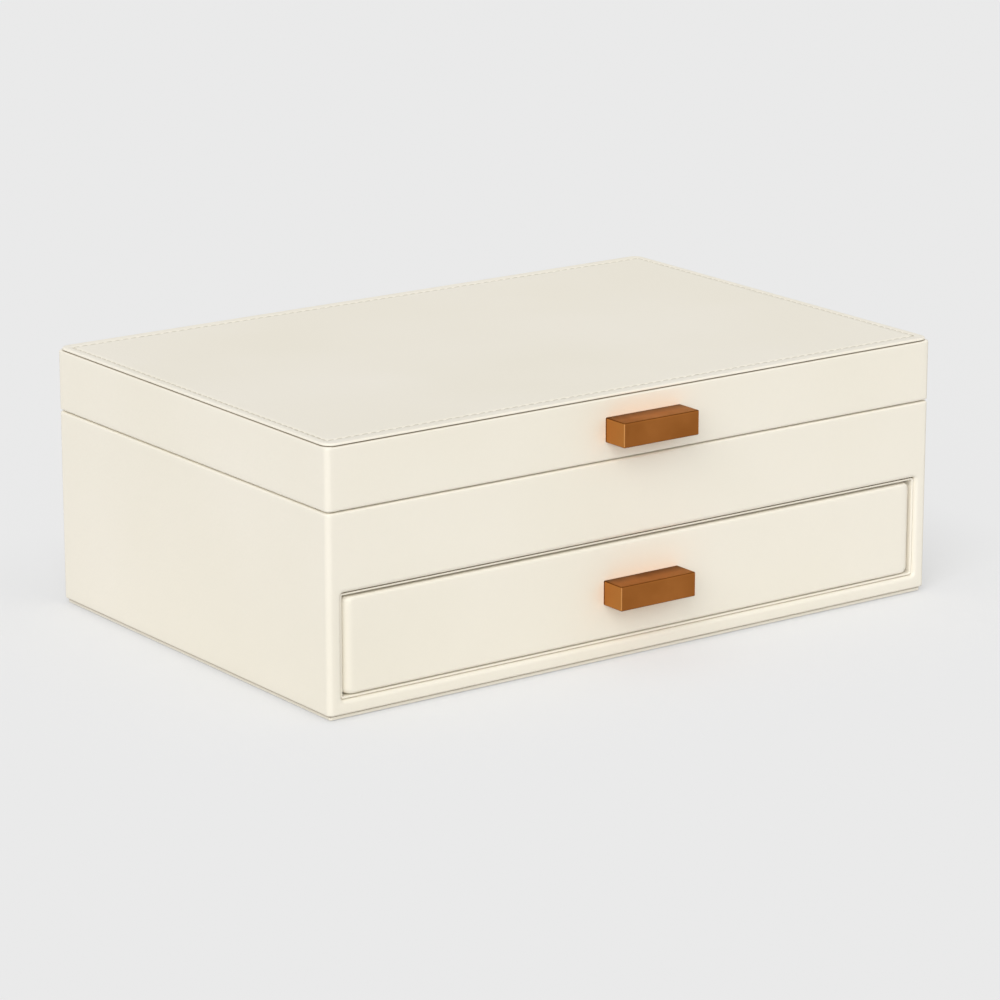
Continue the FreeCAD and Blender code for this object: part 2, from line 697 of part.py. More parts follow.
def make_leaf(label, centre, hand, own):
    """A hinge leaf: plate, barrel and stop flange, relieved where the other leaf's knuckles turn.

    hand is -1 for the case leaf, which hangs below the axis, and 1 for the lid leaf. own lists the
    knuckles that this leaf keeps, out of three. The stop flanges run the whole length outside the
    barrel, and their faces come together when the lid has turned by the stop angle.
    """
    leaf = new_body(label)
    left = f"{centre} - hinge_length / 2"
    right = f"{centre} + hinge_length / 2"
    edge = f"axis_up + {hand} * leaf_height"
    near = f"axis_up + {hand} * plate_gap"
    low, high = (edge, near) if hand < 0 else (near, edge)
    extrude(leaf, "Pad", "plate", "YZ", left, right, draw_rectangle,
            ("back", "leaf_back", low, high))
    extrude(leaf, "Pad", "barrel", "YZ", left, right, draw_circle,
            ("axis_back", "axis_up", "barrel_radius"))

    def around(reach, offset):
        """A point on the stop face at the reach from the axis, moved off the face by the offset."""
        turn = "stop_angle / 2"
        return (f"axis_back + ({reach}) * cos({turn}) + ({offset}) * sin({turn}) * -1",
                f"axis_up + {hand} * (({reach}) * sin({turn}) + ({offset}) * cos({turn}))")
    root = "barrel_radius - leaf / 2"
    extrude(leaf, "Pad", "stop_flange", "YZ", left, right, draw_polygon,
            ([around(root, "0"), around("stop_reach", "0"),
              around("stop_reach", "leaf"), around(root, "leaf")],))
    for knuckle in range(3):
        if knuckle in own:
            continue
        start = f"{left} + {knuckle} * knuckle - knuckle_gap / 2"
        extrude(leaf, "Pocket", f"relief_{knuckle}", "YZ", start, f"{start} + knuckle + knuckle_gap",
                draw_circle, ("axis_back", "axis_up", "barrel_radius + barrel_clearance"))
    extrude(leaf, "Pocket", "bore", "YZ", left, right, draw_circle,
            ("axis_back", "axis_up", "pin_radius + pin_clearance"))
    half = "hinge_screw_spacing / 2"
    up = "case_screw_up" if hand < 0 else "lid_screw_up"
    drill(leaf, "screw_holes", "back", "leaf_back",
          [(f"{centre} - {half}", up), (f"{centre} + {half}", up)],
          "hinge_screw_radius + screw_clearance")
    outer = lies_in("Y", value("leaf_back"))
    round_edges(leaf, "countersinks", "hinge_screw_countersink",
                lambda item: outer(item) and item.Curve.TypeId == "Part::GeomCircle", "Chamfer")


def make_pin(label, centre):
    pin = new_body(label)
    left = f"{centre} - hinge_length / 2"
    right = f"{centre} + hinge_length / 2"
    spot = ("axis_back", "axis_up")
    extrude(pin, "Pad", "shank", "YZ", left, right, draw_circle, spot + ("pin_radius",))
    extrude(pin, "Pad", "left_head", "YZ", f"{left} - pin_head", left, draw_circle,
            spot + ("pin_head_radius",))
    extrude(pin, "Pad", "right_head", "YZ", right, f"{right} + pin_head", draw_circle,
            spot + ("pin_head_radius",))
    round_edges(pin, "eased_ends", "0.5 * pin_head",
                lies_in("X", value(f"{left} - pin_head"), value(f"{right} + pin_head")), "Chamfer")


def make_hinges():
    for side, centre in HINGE_SIDES.items():
        make_leaf(f"hinge_{side}_case_leaf", centre, -1, (0, 2))
        make_leaf(f"hinge_{side}_lid_leaf", centre, 1, (1,))
        make_pin(f"hinge_{side}_pin", centre)
    for label, up in (
            ("case_hinge_screws", "case_screw_up"), ("lid_hinge_screws", "lid_screw_up")):
        neck = "leaf_back - hinge_screw_countersink"
        group_screws(label, hinge_screw_spots(up),
                     ("hinge_screw_radius", "leaf_back - hinge_screw_length", neck),
                     ("hinge_screw_radius", neck, "leaf_back",
                      "hinge_screw_radius + hinge_screw_countersink"))


# ---------------------------------------------------------------- build, test and write

make_base()
make_case_boards()
make_case_wrap()
make_tray()
make_lid_boards()
make_lid_wrap()
make_lid_lining()
make_drawer_front()
make_drawer_box()
make_drawer_dividers()
make_pulls()
make_hinges()
doc.recompute()

failed = [item.Label for item in doc.Objects if "Invalid" in item.State or "Error" in item.State]
for part in PARTS:
    if part.Shape.isNull() or not part.Shape.isValid() or not part.Shape.Solids:
        failed.append(part.Label)
if failed:
    raise RuntimeError("these objects failed: " + ", ".join(sorted(set(failed))))

os.makedirs("parts", exist_ok=True)
for part in PARTS:
    part.Shape.exportStep(os.path.join("parts", part.Label + ".step"))
    box = part.Shape.BoundBox
    print(f"{part.Label:24s} solids {len(part.Shape.Solids)}  volume {part.Shape.Volume:10.1f}  "
          f"x {box.XMin:8.2f} {box.XMax:8.2f}  y {box.YMin:8.2f} {box.YMax:8.2f}  "
          f"z {box.ZMin:7.2f} {box.ZMax:7.2f}")
print(len(PARTS), "parts written")
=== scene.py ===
# %% [markdown]
# # Finishing a ring box with a drawer
#
# The box is a case of thin boards under a glued skin of cream faux leather, with a hinged lid and
# one drawer. The boards and the joints come from a imported model that never moves. This lesson
# builds what the eye sees on top of it: the folded skin, the stitched panel, the bar pulls, the
# hinges and the soft inside.

# %% Load the model
import math

import bmesh
import bpy
import numpy as np
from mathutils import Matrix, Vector


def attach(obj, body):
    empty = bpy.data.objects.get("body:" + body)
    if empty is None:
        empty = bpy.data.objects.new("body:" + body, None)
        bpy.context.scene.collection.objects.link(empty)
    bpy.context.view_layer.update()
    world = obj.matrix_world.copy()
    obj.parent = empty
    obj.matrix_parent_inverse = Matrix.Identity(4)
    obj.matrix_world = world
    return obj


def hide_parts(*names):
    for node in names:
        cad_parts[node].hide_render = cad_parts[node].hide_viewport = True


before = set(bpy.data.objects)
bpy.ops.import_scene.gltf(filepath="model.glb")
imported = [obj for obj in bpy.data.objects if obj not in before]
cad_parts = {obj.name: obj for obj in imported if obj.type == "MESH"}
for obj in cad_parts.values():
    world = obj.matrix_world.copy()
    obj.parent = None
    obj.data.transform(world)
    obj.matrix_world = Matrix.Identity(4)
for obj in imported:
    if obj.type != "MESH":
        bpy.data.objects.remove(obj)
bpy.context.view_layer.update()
MM = 0.001
# half the width and half the depth of the case, in millimetres
SIDE, FRONT = 141.0, 93.0

# %% [markdown]
# ## Camera
#
# A long lens from far away keeps the upright edges nearly parallel. The camera is placed by the
# point that it looks at, two angles and its distance, and the lamps by the same function.

# %% Place the camera
LOOK_AT = Vector((-4.4, -8.85, 42.0)) * MM
AZIMUTH, ELEVATION, DISTANCE = -36.02, 15.42, 1.6867
LENS, SENSOR = 156.6, 36.0


def add_object(name, data):
    made = bpy.data.objects.new(name, data)
    bpy.context.scene.collection.objects.link(made)
    return made


def look_inwards(thing, target, azimuth, elevation, distance):
    """Places a camera or lamp, looking at the target. The angles are in degrees, and the azimuth
    turns from the front (0) toward the left (-90)."""
    a, e = math.radians(azimuth), math.radians(elevation)
    away = Vector((math.sin(a) * math.cos(e), -math.cos(a) * math.cos(e), math.sin(e)))
    thing.location = target + away * distance
    thing.rotation_mode = "QUATERNION"
    thing.rotation_quaternion = (-away).to_track_quat("-Z", "Y")


camera_data = bpy.data.cameras.new("camera")
camera_data.lens = LENS
camera_data.sensor_width = SENSOR
camera = add_object("camera", camera_data)
look_inwards(camera, LOOK_AT, AZIMUTH, ELEVATION, DISTANCE)
bpy.context.scene.camera = camera
bpy.context.scene.view_settings.view_transform = "Standard"
print("camera", round(DISTANCE, 3), "m away, with a lens of", LENS, "mm")

# %% [markdown]
# ## Putting shader nodes together
#
# Every finish below is a small net of shader nodes. These helpers add nodes, fill or link their
# sockets, and start a node group, so that an effect is built once and used in many materials.

# %% Node helpers
def feed(tree, socket, value):
    """Links a socket to another one, or gives it a plain number or colour."""
    if isinstance(value, bpy.types.NodeSocket):
        tree.links.new(value, socket)
    else:
        socket.default_value = value


def fill(tree, node, **sockets):
    """Feeds sockets of a node by name, with _ for each space."""
    for name, value in sockets.items():
        feed(tree, node.inputs[name.replace("_", " ")], value)


def add_node(tree, kind, settings=None, **sockets):
    made = tree.nodes.new("ShaderNode" + kind)
    for name, value in (settings or {}).items():
        setattr(made, name, value)
    fill(tree, made, **sockets)
    return made


def calculate(tree, operation, *values, kind="Math", result=0):
    """The result of a sum or the like on one or two values."""
    made = add_node(tree, kind, {"operation": operation})
    for index, value in enumerate(values):
        feed(tree, made.inputs[index], value)
    return made.outputs[result]


def mix_colours(tree, share, first, second):
    """The colour that is first where share is 0 and second where it is 1."""
    made = add_node(tree, "Mix", {"data_type": "RGBA"})
    for index, value in ((0, share), (6, first), (7, second)):
        feed(tree, made.inputs[index], value)
    return made.outputs[2]


def mix_shaders(tree, share, first, second):
    made = add_node(tree, "MixShader", Fac=share)
    for index, shader in ((1, first), (2, second)):
        tree.links.new(shader.outputs[0], made.inputs[index])
    return made.outputs[0]


def stretch(tree, value, low=0.3, high=0.7, new_low=0.0, new_high=1.0):
    """A value from low to high, moved to lie between new_low and new_high. Most noise lies between
    0.3 and 0.7."""
    return add_node(tree, "MapRange", Value=value, From_Min=low, From_Max=high,
                    To_Min=new_low, To_Max=new_high).outputs["Result"]


def noise(tree, place, scale, **more):
    return add_node(tree, "TexNoise", Vector=place, Scale=scale, **more).outputs[0]


def bumps(tree, height, distance):
    """A height pattern that tilts the surface; distance is the height of a full step, in metres."""
    return add_node(tree, "Bump", Height=height, Distance=distance).outputs["Normal"]


def painted_shade_share(tree):
    """How much shade is painted on a point, a value that some pieces carry."""
    return add_node(tree, "Attribute", {"attribute_name": "shade_painted_in"}).outputs["Fac"]


def new_group(name, inputs, outputs):
    """An empty group: inputs are (name, default) pairs, and outputs are names of values."""
    tree = bpy.data.node_groups.new(name, "ShaderNodeTree")
    for label, default in inputs:
        kind = "NodeSocketVector" if default is None else "NodeSocketFloat"
        socket = tree.interface.new_socket(label, in_out="INPUT", socket_type=kind)
        if default is not None:
            socket.default_value = default
    for label in outputs:
        tree.interface.new_socket(label, in_out="OUTPUT", socket_type="NodeSocketFloat")
    entrance = tree.nodes.new("NodeGroupInput")
    return tree, entrance.outputs, tree.nodes.new("NodeGroupOutput")


def use_group(tree, group, **sockets):
    """A copy of a group in this material, with its own values."""
    return add_node(tree, "Group", {"node_tree": group}, **sockets).outputs


def start_material(name, **constants):
    """A material with one Principled shader, whose plain values are set on its own sockets."""
    material = bpy.data.materials.new(name)
    material.use_nodes = True
    tree = material.node_tree
    shader = tree.nodes["Principled BSDF"]
    fill(tree, shader, **constants)
    return material, tree, shader, add_node(tree, "TexCoord").outputs["Object"]


def linear(red, green, blue):
    """A colour picked on a screen, from 0 to 255, as the light values that shaders work with."""
    value = np.array([red, green, blue]) / 255
    value = np.where(value <= 0.04045, value / 12.92, ((value + 0.055) / 1.055) ** 2.4)
    return (*value.tolist(), 1.0)


print("white paper is", [round(x, 3) for x in linear(234, 234, 234)[:3]])

# %% [markdown]
# ## Floor, world and lamps
#
# The box stands in a light tent: pale light from all round, one broad lamp from the front left and
# a faint, slightly warm one from the right. Toward the camera the floor is mostly a plain colour
# of its own. Close to the box that share falls, and its real shading shows: a soft shadow, and a
# dark line at the foot. It sends back a little less light than it shows, so the shadows under the
# pulls keep their depth.

# %% Build the stage
BACKDROP = linear(234, 234, 234)
FLOOR_COLOUR, FLOOR_BOUNCE = (0.865, 0.87, 0.88, 1.0), (0.67, 0.67, 0.67, 1.0)
FLOOR_SIZE, NEAR_SHARE, FAR_SHARE, SHARE_REACH = 30, 0.35, 0.92, 90
LAMP_DISTANCE = 3


def seen_by_camera(tree):
    """1 for rays that show the backdrop: straight from the camera, in a gloss, or through glass."""
    path = add_node(tree, "LightPath").outputs
    straight = calculate(tree, "MAXIMUM", path["Is Camera Ray"], path["Is Glossy Ray"])
    return calculate(tree, "MAXIMUM", straight, path["Is Transmission Ray"])


def make_world(strength, colour):
    world = bpy.data.worlds.new("light_tent")
    world.use_nodes = True
    tree = world.node_tree
    tree.nodes.clear()
    light = add_node(tree, "Background", Color=colour, Strength=strength)
    shown = add_node(tree, "Background", Color=BACKDROP, Strength=1.0)
    add_node(tree, "OutputWorld", Surface=mix_shaders(tree, seen_by_camera(tree), light, shown))
    bpy.context.scene.world = world


def make_lamp(name, strength, azimuth, elevation, width, colour):
    """A sun lamp, whose width in degrees makes its shadows soft."""
    data = bpy.data.lights.new(name, "SUN")
    data.energy = strength
    data.angle = math.radians(width)
    data.color = colour
    look_inwards(add_object(name, data), Vector(), azimuth, elevation, LAMP_DISTANCE)


def away_from_box(tree, place, near, far):
    """The near value at the outline of the box on the floor, and the far one beyond the reach."""
    positive = calculate(tree, "ABSOLUTE", place, kind="VectorMath")
    beyond = calculate(tree, "SUBTRACT", positive, (SIDE * MM, FRONT * MM, 0), kind="VectorMath")
    outside = calculate(tree, "MAXIMUM", beyond, (0, 0, 0), kind="VectorMath")
    distance = calculate(tree, "LENGTH", outside, kind="VectorMath", result="Value")
    return stretch(tree, distance, 0.0, SHARE_REACH * MM, near, far)


def make_floor():
    mesh = bpy.data.meshes.new("floor")
    corner = FLOOR_SIZE / 2
    mesh.from_pydata([(-corner, -corner, 0), (corner, -corner, 0),
                      (corner, corner, 0), (-corner, corner, 0)], [], [(0, 1, 2, 3)])
    material, tree, matt, place = start_material("pale_floor", Roughness=0.9,
                                                 Specular_IOR_Level=0.0)
    sends_back = add_node(tree, "LightPath").outputs["Is Diffuse Ray"]
    fill(tree, matt, Base_Color=mix_colours(tree, sends_back, FLOOR_COLOUR, FLOOR_BOUNCE))
    glow = add_node(tree, "Emission", Color=BACKDROP, Strength=1.0)
    share = calculate(tree, "MULTIPLY", seen_by_camera(tree),
                      away_from_box(tree, place, NEAR_SHARE, FAR_SHARE))
    fill(tree, tree.nodes["Material Output"], Surface=mix_shaders(tree, share, matt, glow))
    mesh.materials.append(material)
    add_object("floor", mesh)


make_world(0.60, (1.0, 1.0, 1.0, 1.0))
make_lamp("front_left_panel", 1.80, -50, 31.7, 50, (1.0, 1.0, 0.985))
make_lamp("right_panel", 0.27, 30, 20, 60, (1.0, 1.0, 0.92))
make_floor()

# %% [markdown]
# ## A profile carried round a rounded rectangle
#
# Almost every piece of this box is a sheet folded round a board: a rounded rectangle in one
# direction and a fold in the other. So one family of surfaces makes them all, worked out as whole
# arrays, and every flat stays truly flat.

# %% Shape helpers
def stations(run_x=(-0.99, 0.99), run_y=(-0.99, 0.99), arc_steps=8):
    """Where the points of a rounded rectangle stand, against the clock: a place on the rectangle
    of the corner centres, from -1 to 1 each way, and a direction. On a run the place moves on and
    the direction stays; at a corner the place stays and the direction turns a quarter."""
    turn = np.linspace(0, np.pi / 2, arc_steps + 1)
    places, angles = [], []
    for quarter in range(4):
        run = (run_y, run_x)[quarter % 2]
        along = np.append(run, np.ones(len(turn)))
        c, s = round(math.cos(quarter * math.pi / 2)), round(math.sin(quarter * math.pi / 2))
        places.append(np.stack([c - s * along, s + c * along], 1))
        angles.append(np.append(np.zeros(len(run)), turn) + quarter * np.pi / 2)
    angle = np.concatenate(angles)
    return np.concatenate(places), np.stack([np.cos(angle), np.sin(angle)], 1)


def rings(where, half_x, half_y, radius, height, centre=(0.0, 0.0)):
    """Rounded rectangles one above the other, as a grid of points: each is
    centre + place * (half size - radius) + radius * direction, at the ring's height."""
    place, direction = where
    r = radius[:, None, None]
    half = np.stack([half_x, half_y], 1)[:, None]
    flat = np.asarray(centre) + place * (half - r) + r * direction
    up = np.broadcast_to(height[:, None, None], flat.shape[:2] + (1,))
    return np.concatenate([flat, up], 2)


def carry(where, half, radius, profile, centre=(0.0, 0.0), tightest=0.2):
    """A profile of (inset, height) points carried round a rounded rectangle. The outline is drawn
    in by each inset, and its corner radius shrinks as much, but not below the tightest."""
    inset, height = np.asarray(profile, float).T
    return rings(where, half[0] - inset, half[1] - inset,
                 np.maximum(radius - inset, tightest), height, centre)


def fold(centre_inset, centre_height, radius, start, end, steps=6):
    """A fold in a profile: points on a circle, with angles in degrees. 0 degrees points outwards,
    to a smaller inset, and 90 degrees points up."""
    angle = np.radians(np.linspace(start, end, steps + 1))
    return list(zip(centre_inset - radius * np.cos(angle), centre_height + radius * np.sin(angle)))


def round_low(low, radius, steps=6):
    """A profile's rounded lower edge, from the underside to the outline."""
    return fold(radius, low + radius, radius, -90, 0, steps)


def round_top(top, radius, steps=6):
    """A profile's rounded upper edge, from the outline to the top."""
    return fold(radius, top - radius, radius, 0, 90, steps)


def facing_front(points):
    """Stands a shape up: what was its height now points to the front, which is -Y."""
    x, y, z = np.moveaxis(points, -1, 0)
    return np.stack([x, -z, y], -1)


def grid_faces(rows, columns, first=0):
    """Four-sided faces between neighbours of a grid whose last column joins the first."""
    index = first + np.arange(rows * columns).reshape(rows, columns)
    index = np.hstack([index, index[:, :1]])
    corners = (index[:-1, :-1], index[:-1, 1:], index[1:, 1:], index[1:, :-1])
    return np.stack(corners, -1).reshape(-1, 4)


BOTH, NONE, LAST = (True, True), (False, False), (False, True)


def lofted(points, caps=BOTH):
    """Points and faces of a grid of rings. caps says which end rings are closed by a face."""
    rows, columns = points.shape[:2]
    faces = grid_faces(rows, columns).tolist()
    if caps[0]:
        faces.append(list(range(columns))[::-1])
    if caps[1]:
        faces.append(list(range((rows - 1) * columns, rows * columns)))
    return points.reshape(-1, 3), faces


print("a ring has", len(stations()[0]), "points")

# %% [markdown]
# ## From numbers to a piece
#
# Points are in millimetres, as on a maker's drawing, and become metres only here. The mesh is
# merged where a grid closes on itself, and its faces are turned outwards. Then the piece rides on
# its body and takes the place of its node.


def add_piece(name, shape, body, finish, stands_for=(), caps=BOTH, sharp=35, shell=None):
    """A new piece, from a grid of rings or from points and faces, in millimetres. A shell gets a
    wall of that thickness. The shading breaks at edges that turn by more than the sharp angle."""
    points, faces = shape if isinstance(shape, tuple) else lofted(shape, caps)
    mesh = bpy.data.meshes.new(name)
    mesh.from_pydata((np.asarray(points).reshape(-1, 3) * MM).tolist(), [], faces)
    work = bmesh.new()
    work.from_mesh(mesh)
    bmesh.ops.remove_doubles(work, verts=work.verts, dist=2e-7)
    bmesh.ops.dissolve_degenerate(work, edges=work.edges, dist=1e-8)
    is_closed = all(edge.is_manifold for edge in work.edges)
    if is_closed and work.calc_volume(signed=True) < 0:
        bmesh.ops.reverse_faces(work, faces=work.faces)
    work.to_mesh(mesh)
    work.free()
    mesh.polygons.foreach_set("use_smooth", np.ones(len(mesh.polygons), bool))
    mesh.set_sharp_from_angle(angle=math.radians(sharp))
    mesh.materials.append(finish)
    piece = add_object(name, mesh)
    if shell:
        wall = piece.modifiers.new("wall", "SOLIDIFY")
        wall.thickness = shell * MM
        wall.offset = -1
    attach(piece, body)
    if stands_for:
        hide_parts(*stands_for)
    print(f"{name}: {len(mesh.vertices)} points, {len(mesh.polygons)} faces, "
          f"{'closed' if is_closed else 'open'}")
    return piece


def read_points(mesh):
    flat = np.empty(len(mesh.vertices) * 3)
    mesh.vertices.foreach_get("co", flat)
    return flat.reshape(-1, 3)


def paint_shade(piece, amount):
    """Paints shade on a piece as a value of each point. amount takes the points in millimetres, and
    gives 0 where no shade is painted and 1 where the painted shade is darkest."""
    x, y, z = read_points(piece.data).T / MM
    layer = piece.data.attributes.new("shade_painted_in", "FLOAT", "POINT")
    layer.data.foreach_set("value", np.clip(amount(x, y, z), 0, 1).astype(np.float32))


def finish_nodes(nodes, finish):
    """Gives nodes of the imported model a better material, and leaves their shapes alone."""
    for node in nodes:
        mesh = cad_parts[node].data
        mesh.materials.clear()
        mesh.materials.append(finish)


print("piece helpers ready")

# %% [markdown]
# ## Faux leather
#
# Faux leather is a soft plastic coat on cloth, with a fine pebbled grain, broad faint changes of
#  tone, and a low satin gloss. Cells and noise worked out from the object's own coordinates never
#  stretch or repeat. Shade is painted into the joints where covered pieces meet and into the gaps
#  round the drawer and the foot: such pieces carry a value of painted shade, and the leather turns
#      dark by it.

# %% Leather
grain, given, out = new_group(
    "leather_grain", [("Place", None), ("Cells", 900.0), ("Patches", 12.0)], ["Height", "Tone"])
cells = add_node(grain, "TexVoronoi", {"feature": "SMOOTH_F1"}, Vector=given["Place"],
                 Scale=given["Cells"]).outputs["Distance"]
creases = noise(grain, given["Place"], 260.0, Detail=3.0)
patches = noise(grain, given["Place"], given["Patches"], Detail=2.0, Roughness=0.45)
fill(grain, out, Height=calculate(grain, "ADD", cells, creases), Tone=patches)


def make_leather(name, dark, light, painted_shade_colour, rough):
    material, tree, shader, place = start_material(
        name, Specular_IOR_Level=0.42, Coat_Weight=0.06, Coat_Roughness=0.25)
    effect = use_group(tree, grain, Place=place, Cells=1000.0, Patches=11.0)
    colour = mix_colours(tree, stretch(tree, effect["Tone"]), dark, light)
    fill(tree, shader, Base_Color=mix_colours(tree, painted_shade_share(tree), colour, painted_shade_colour),
         Roughness=stretch(tree, effect["Tone"], new_low=rough + 0.04, new_high=rough - 0.03),
         Normal=bumps(tree, effect["Height"], 0.00003))
    return material


# the last colour is the painted shade in the joints and gaps
leather = make_leather("cream_leather", linear(238, 232, 217), linear(241, 235, 222),
                       linear(158, 140, 110), 0.46)
print("made", leather.name, "with the group", grain.name)

# %% [markdown]
# ## The skin of the case
#
# The real skin is one wrapped sheet: under the bottom, up the walls, over the rim and into the
# drawer bay. Here it is one mesh of two grids: the wall, with the cells in front of the drawer
# taken out, and the opening, which starts on the straight edge of that hole, rounds its corners,
# folds in and runs 15 mm into the bay.

# %% Wall and opening in one skin
CORNER, FOLD, PLATE_TOP, RIM = 2.2, 0.9, 2.0, 77.45
BAY_SIDE, BAY_FLOOR, BAY_TOP, BAY_FOLD, BAY_CORNER = 135.2, 7.4, 47.3, 1.6, 1.2
LEATHER, BOARD, EASE = 0.8, 3.5, 0.11
TURN_IN_END = FRONT - LEATHER - 15
HOLE_EDGE, HOLE_BORDER, STEP_IN = 0.15, 2.2, 1.2
hole_x = SIDE - CORNER - HOLE_EDGE
hole_low, hole_high = BAY_FLOOR - HOLE_BORDER, BAY_TOP + HOLE_BORDER


def wall_run(half):
    """Run places for a wall whose columns pass through the edges of the hole, and beside them."""
    edge = half - CORNER - HOLE_EDGE
    run = np.array([edge - STEP_IN, edge]) / (half - CORNER)
    return np.append(-run[::-1], run)


wall_rows = [hole_low, hole_low + STEP_IN, hole_high - STEP_IN, hole_high, RIM - 2.6]
case_profile = ([(12.0, PLATE_TOP), (2.0, PLATE_TOP)] + round_low(PLATE_TOP, FOLD)
                + [(0.0, z) for z in wall_rows] + round_top(RIM - EASE, FOLD)
                + [(2.0, RIM), (LEATHER + BOARD, RIM), (LEATHER + BOARD, RIM - LEATHER)])
wall = carry(stations(wall_run(SIDE), wall_run(FRONT)), (SIDE, FRONT), CORNER, case_profile)
wall_faces = grid_faces(*wall.shape[:2])
middles = wall.reshape(-1, 3)[wall_faces].mean(1)
in_hole = ((np.abs(middles[:, 0]) < hole_x) & (middles[:, 1] < -FRONT + 0.01)
           & (middles[:, 2] > hole_low) & (middles[:, 2] < hole_high))

bay_half_z, hole_half_z = (BAY_TOP - BAY_FLOOR) / 2, (hole_high - hole_low) / 2
around_bay = stations(np.array([-1, 1]) * (hole_x - STEP_IN) / hole_x,
                      np.array([-1, 1]) * (hole_half_z - STEP_IN) / hole_half_z)
turn = np.radians(np.linspace(0, 90, 7))
growth = np.append(BAY_FOLD * (1 - np.sin(turn)), [0, 0])
reach = np.hstack([FRONT, FRONT - BAY_FOLD * (1 - np.cos(turn)), FRONT - 2, TURN_IN_END])
opening = facing_front(rings(
    around_bay, np.append(hole_x, BAY_SIDE + growth), np.append(hole_half_z, bay_half_z + growth),
    np.append(0.0, BAY_CORNER + growth), reach, (0.0, (BAY_FLOOR + BAY_TOP) / 2)))
skin_points = np.vstack([wall.reshape(-1, 3), opening.reshape(-1, 3)])
skin_faces = np.vstack([wall_faces[~in_hole],
                        grid_faces(*opening.shape[:2], first=wall.shape[0] * wall.shape[1])])
case_skin = add_piece("leather_case_skin", (skin_points, skin_faces.tolist()), "case", leather,
                      ["case_wrap"], shell=LEATHER)


def case_painted_shade(x, y, z):
    """Painted shade where the skin meets the sleeve inside the opening, and where it meets the foot
    underneath.
    """
    in_opening = (np.abs(x) < hole_x) & (z > hole_low) & (z < hole_high) & (y < 0)
    inset = np.minimum(SIDE - np.abs(x), FRONT - np.abs(y))
    below = np.where(z < PLATE_TOP + 0.1, (inset - 0.6) / 0.3, 0)
    paler = np.where(z > BAY_TOP - 0.5, 1.0, np.where(z < BAY_FLOOR + 0.5, 0.3, 0.0))
    return np.maximum(np.where(in_opening, (y + FRONT - 0.8) / 0.5 * paler, 0), below)


paint_shade(case_skin, case_painted_shade)
print("cells left out for the drawer:", int(in_hole.sum()))

# %% [markdown]
# ## The skin of the lid, and the foot
#
# The lid's skin is folded in at the seam below and flat under the stitched panel above. The two
#  folds at the seam face each other across 0.3 mm, which makes the thin dark line. Under the case a
#  covered plate stands 1.2 mm back, in the shade of the case: a second, softer line round the foot.
#  Shade is also painted on the lid's top under the panel's edge, and along the top of the foot.

# %% Lid skin and base plate
LID_LOW, LID_TOP = 77.75, 101.65
BARE_CORNER = 3.2
around_lid = stations((-0.985, 0.985), (-0.98, 0.98))
lid_profile = ([(3.5, LID_LOW + LEATHER), (3.5, LID_LOW), (2.0, LID_LOW)]
               + round_low(LID_LOW + EASE, FOLD) + [(0.0, LID_LOW + 2.4), (0.0, LID_TOP - 2.4)]
               + round_top(LID_TOP, FOLD) + [(2.2, LID_TOP), (20.0, LID_TOP)])
lid_skin = add_piece("leather_lid_skin", carry(around_lid, (SIDE, FRONT), CORNER, lid_profile),
                     "lid", leather, ["lid_wrap"], caps=LAST, shell=LEATHER)


def shade_under_panel(x, y, z):
    """Painted shade: 1 on the lid's top under the panel's edge, 0 on its sides and on its four bare
    corners.
    """
    from_side, from_front = SIDE - np.abs(x), FRONT - np.abs(y)
    covered = (z > LID_TOP - 0.5) & (from_side + from_front >= BARE_CORNER)
    return np.where(covered, (np.minimum(from_side, from_front) - 0.35) / 0.25, 0)


paint_shade(lid_skin, shade_under_panel)

FOOT_LOW, FOOT_SET_IN, FOOT_EDGE, FOOT_GAP = 0.35, 1.2, 0.35, 0.25
foot_top = PLATE_TOP - FOOT_GAP
foot_profile = ([(2.5, FOOT_LOW)] + round_low(FOOT_LOW, FOOT_EDGE, 4)
                + round_top(foot_top, FOOT_EDGE, 4) + [(4.2, foot_top), (4.4, PLATE_TOP)])
foot_half = (SIDE - FOOT_SET_IN, FRONT - FOOT_SET_IN)
foot_shape = carry(around_lid, foot_half, CORNER - FOOT_SET_IN, foot_profile)
foot = add_piece("leather_base_plate", foot_shape, "case", leather, ["base_plate"])
# painted shade along the top of the foot, 2.2 times as strong at its left and right ends
paint_shade(foot, lambda x, y, z: np.where(np.abs(x) > foot_half[0] - 0.5, 2.2, 1)
            * (z - 1.3) / 0.9)

# %% [markdown]
# ## The stitched panel on the lid
#
# The panel is a thin board in its own leather, sewn round its edge before it is glued on. The
# thread pulls the leather down at every hole, so the groove's depth is a cosine of the stitches
# walked along each side, with four columns of points to a stitch.

# %% Panel with a sewn groove
PANEL_LOW, PANEL_TOP, PANEL_SET_IN, PANEL_ROUND = LID_TOP, LID_TOP + 1.2, 0.3, 0.65
SEAM_INSET_X, SEAM_INSET_Y, PANEL_CORNER = 3.4, 5.1, 4.4
STITCHES_X, STITCHES_Y, GROOVE_HALF, DEEPEST, SHALLOWEST = 75, 49, 0.75, 0.40, 0.24
panel_half = (SIDE - PANEL_SET_IN, FRONT - PANEL_SET_IN)
around_panel = stations(np.linspace(-1, 1, 4 * STITCHES_X + 1)[1:-1],
                        np.linspace(-1, 1, 4 * STITCHES_Y + 1)[1:-1], arc_steps=6)
edge_rows = ([(3.4, PANEL_LOW), (3.0, PANEL_LOW), (2.9, PANEL_LOW + 0.26), (0.3, PANEL_LOW + 0.3)]
             + fold(0.12, PANEL_LOW + 0.42, 0.12, -90, 0, 3)
             + round_top(PANEL_TOP, PANEL_ROUND) + [(1.8, PANEL_TOP)])
across_groove = np.linspace(-GROOVE_HALF, GROOVE_HALF, 7)
edge_inset, edge_height = np.array(edge_rows).T
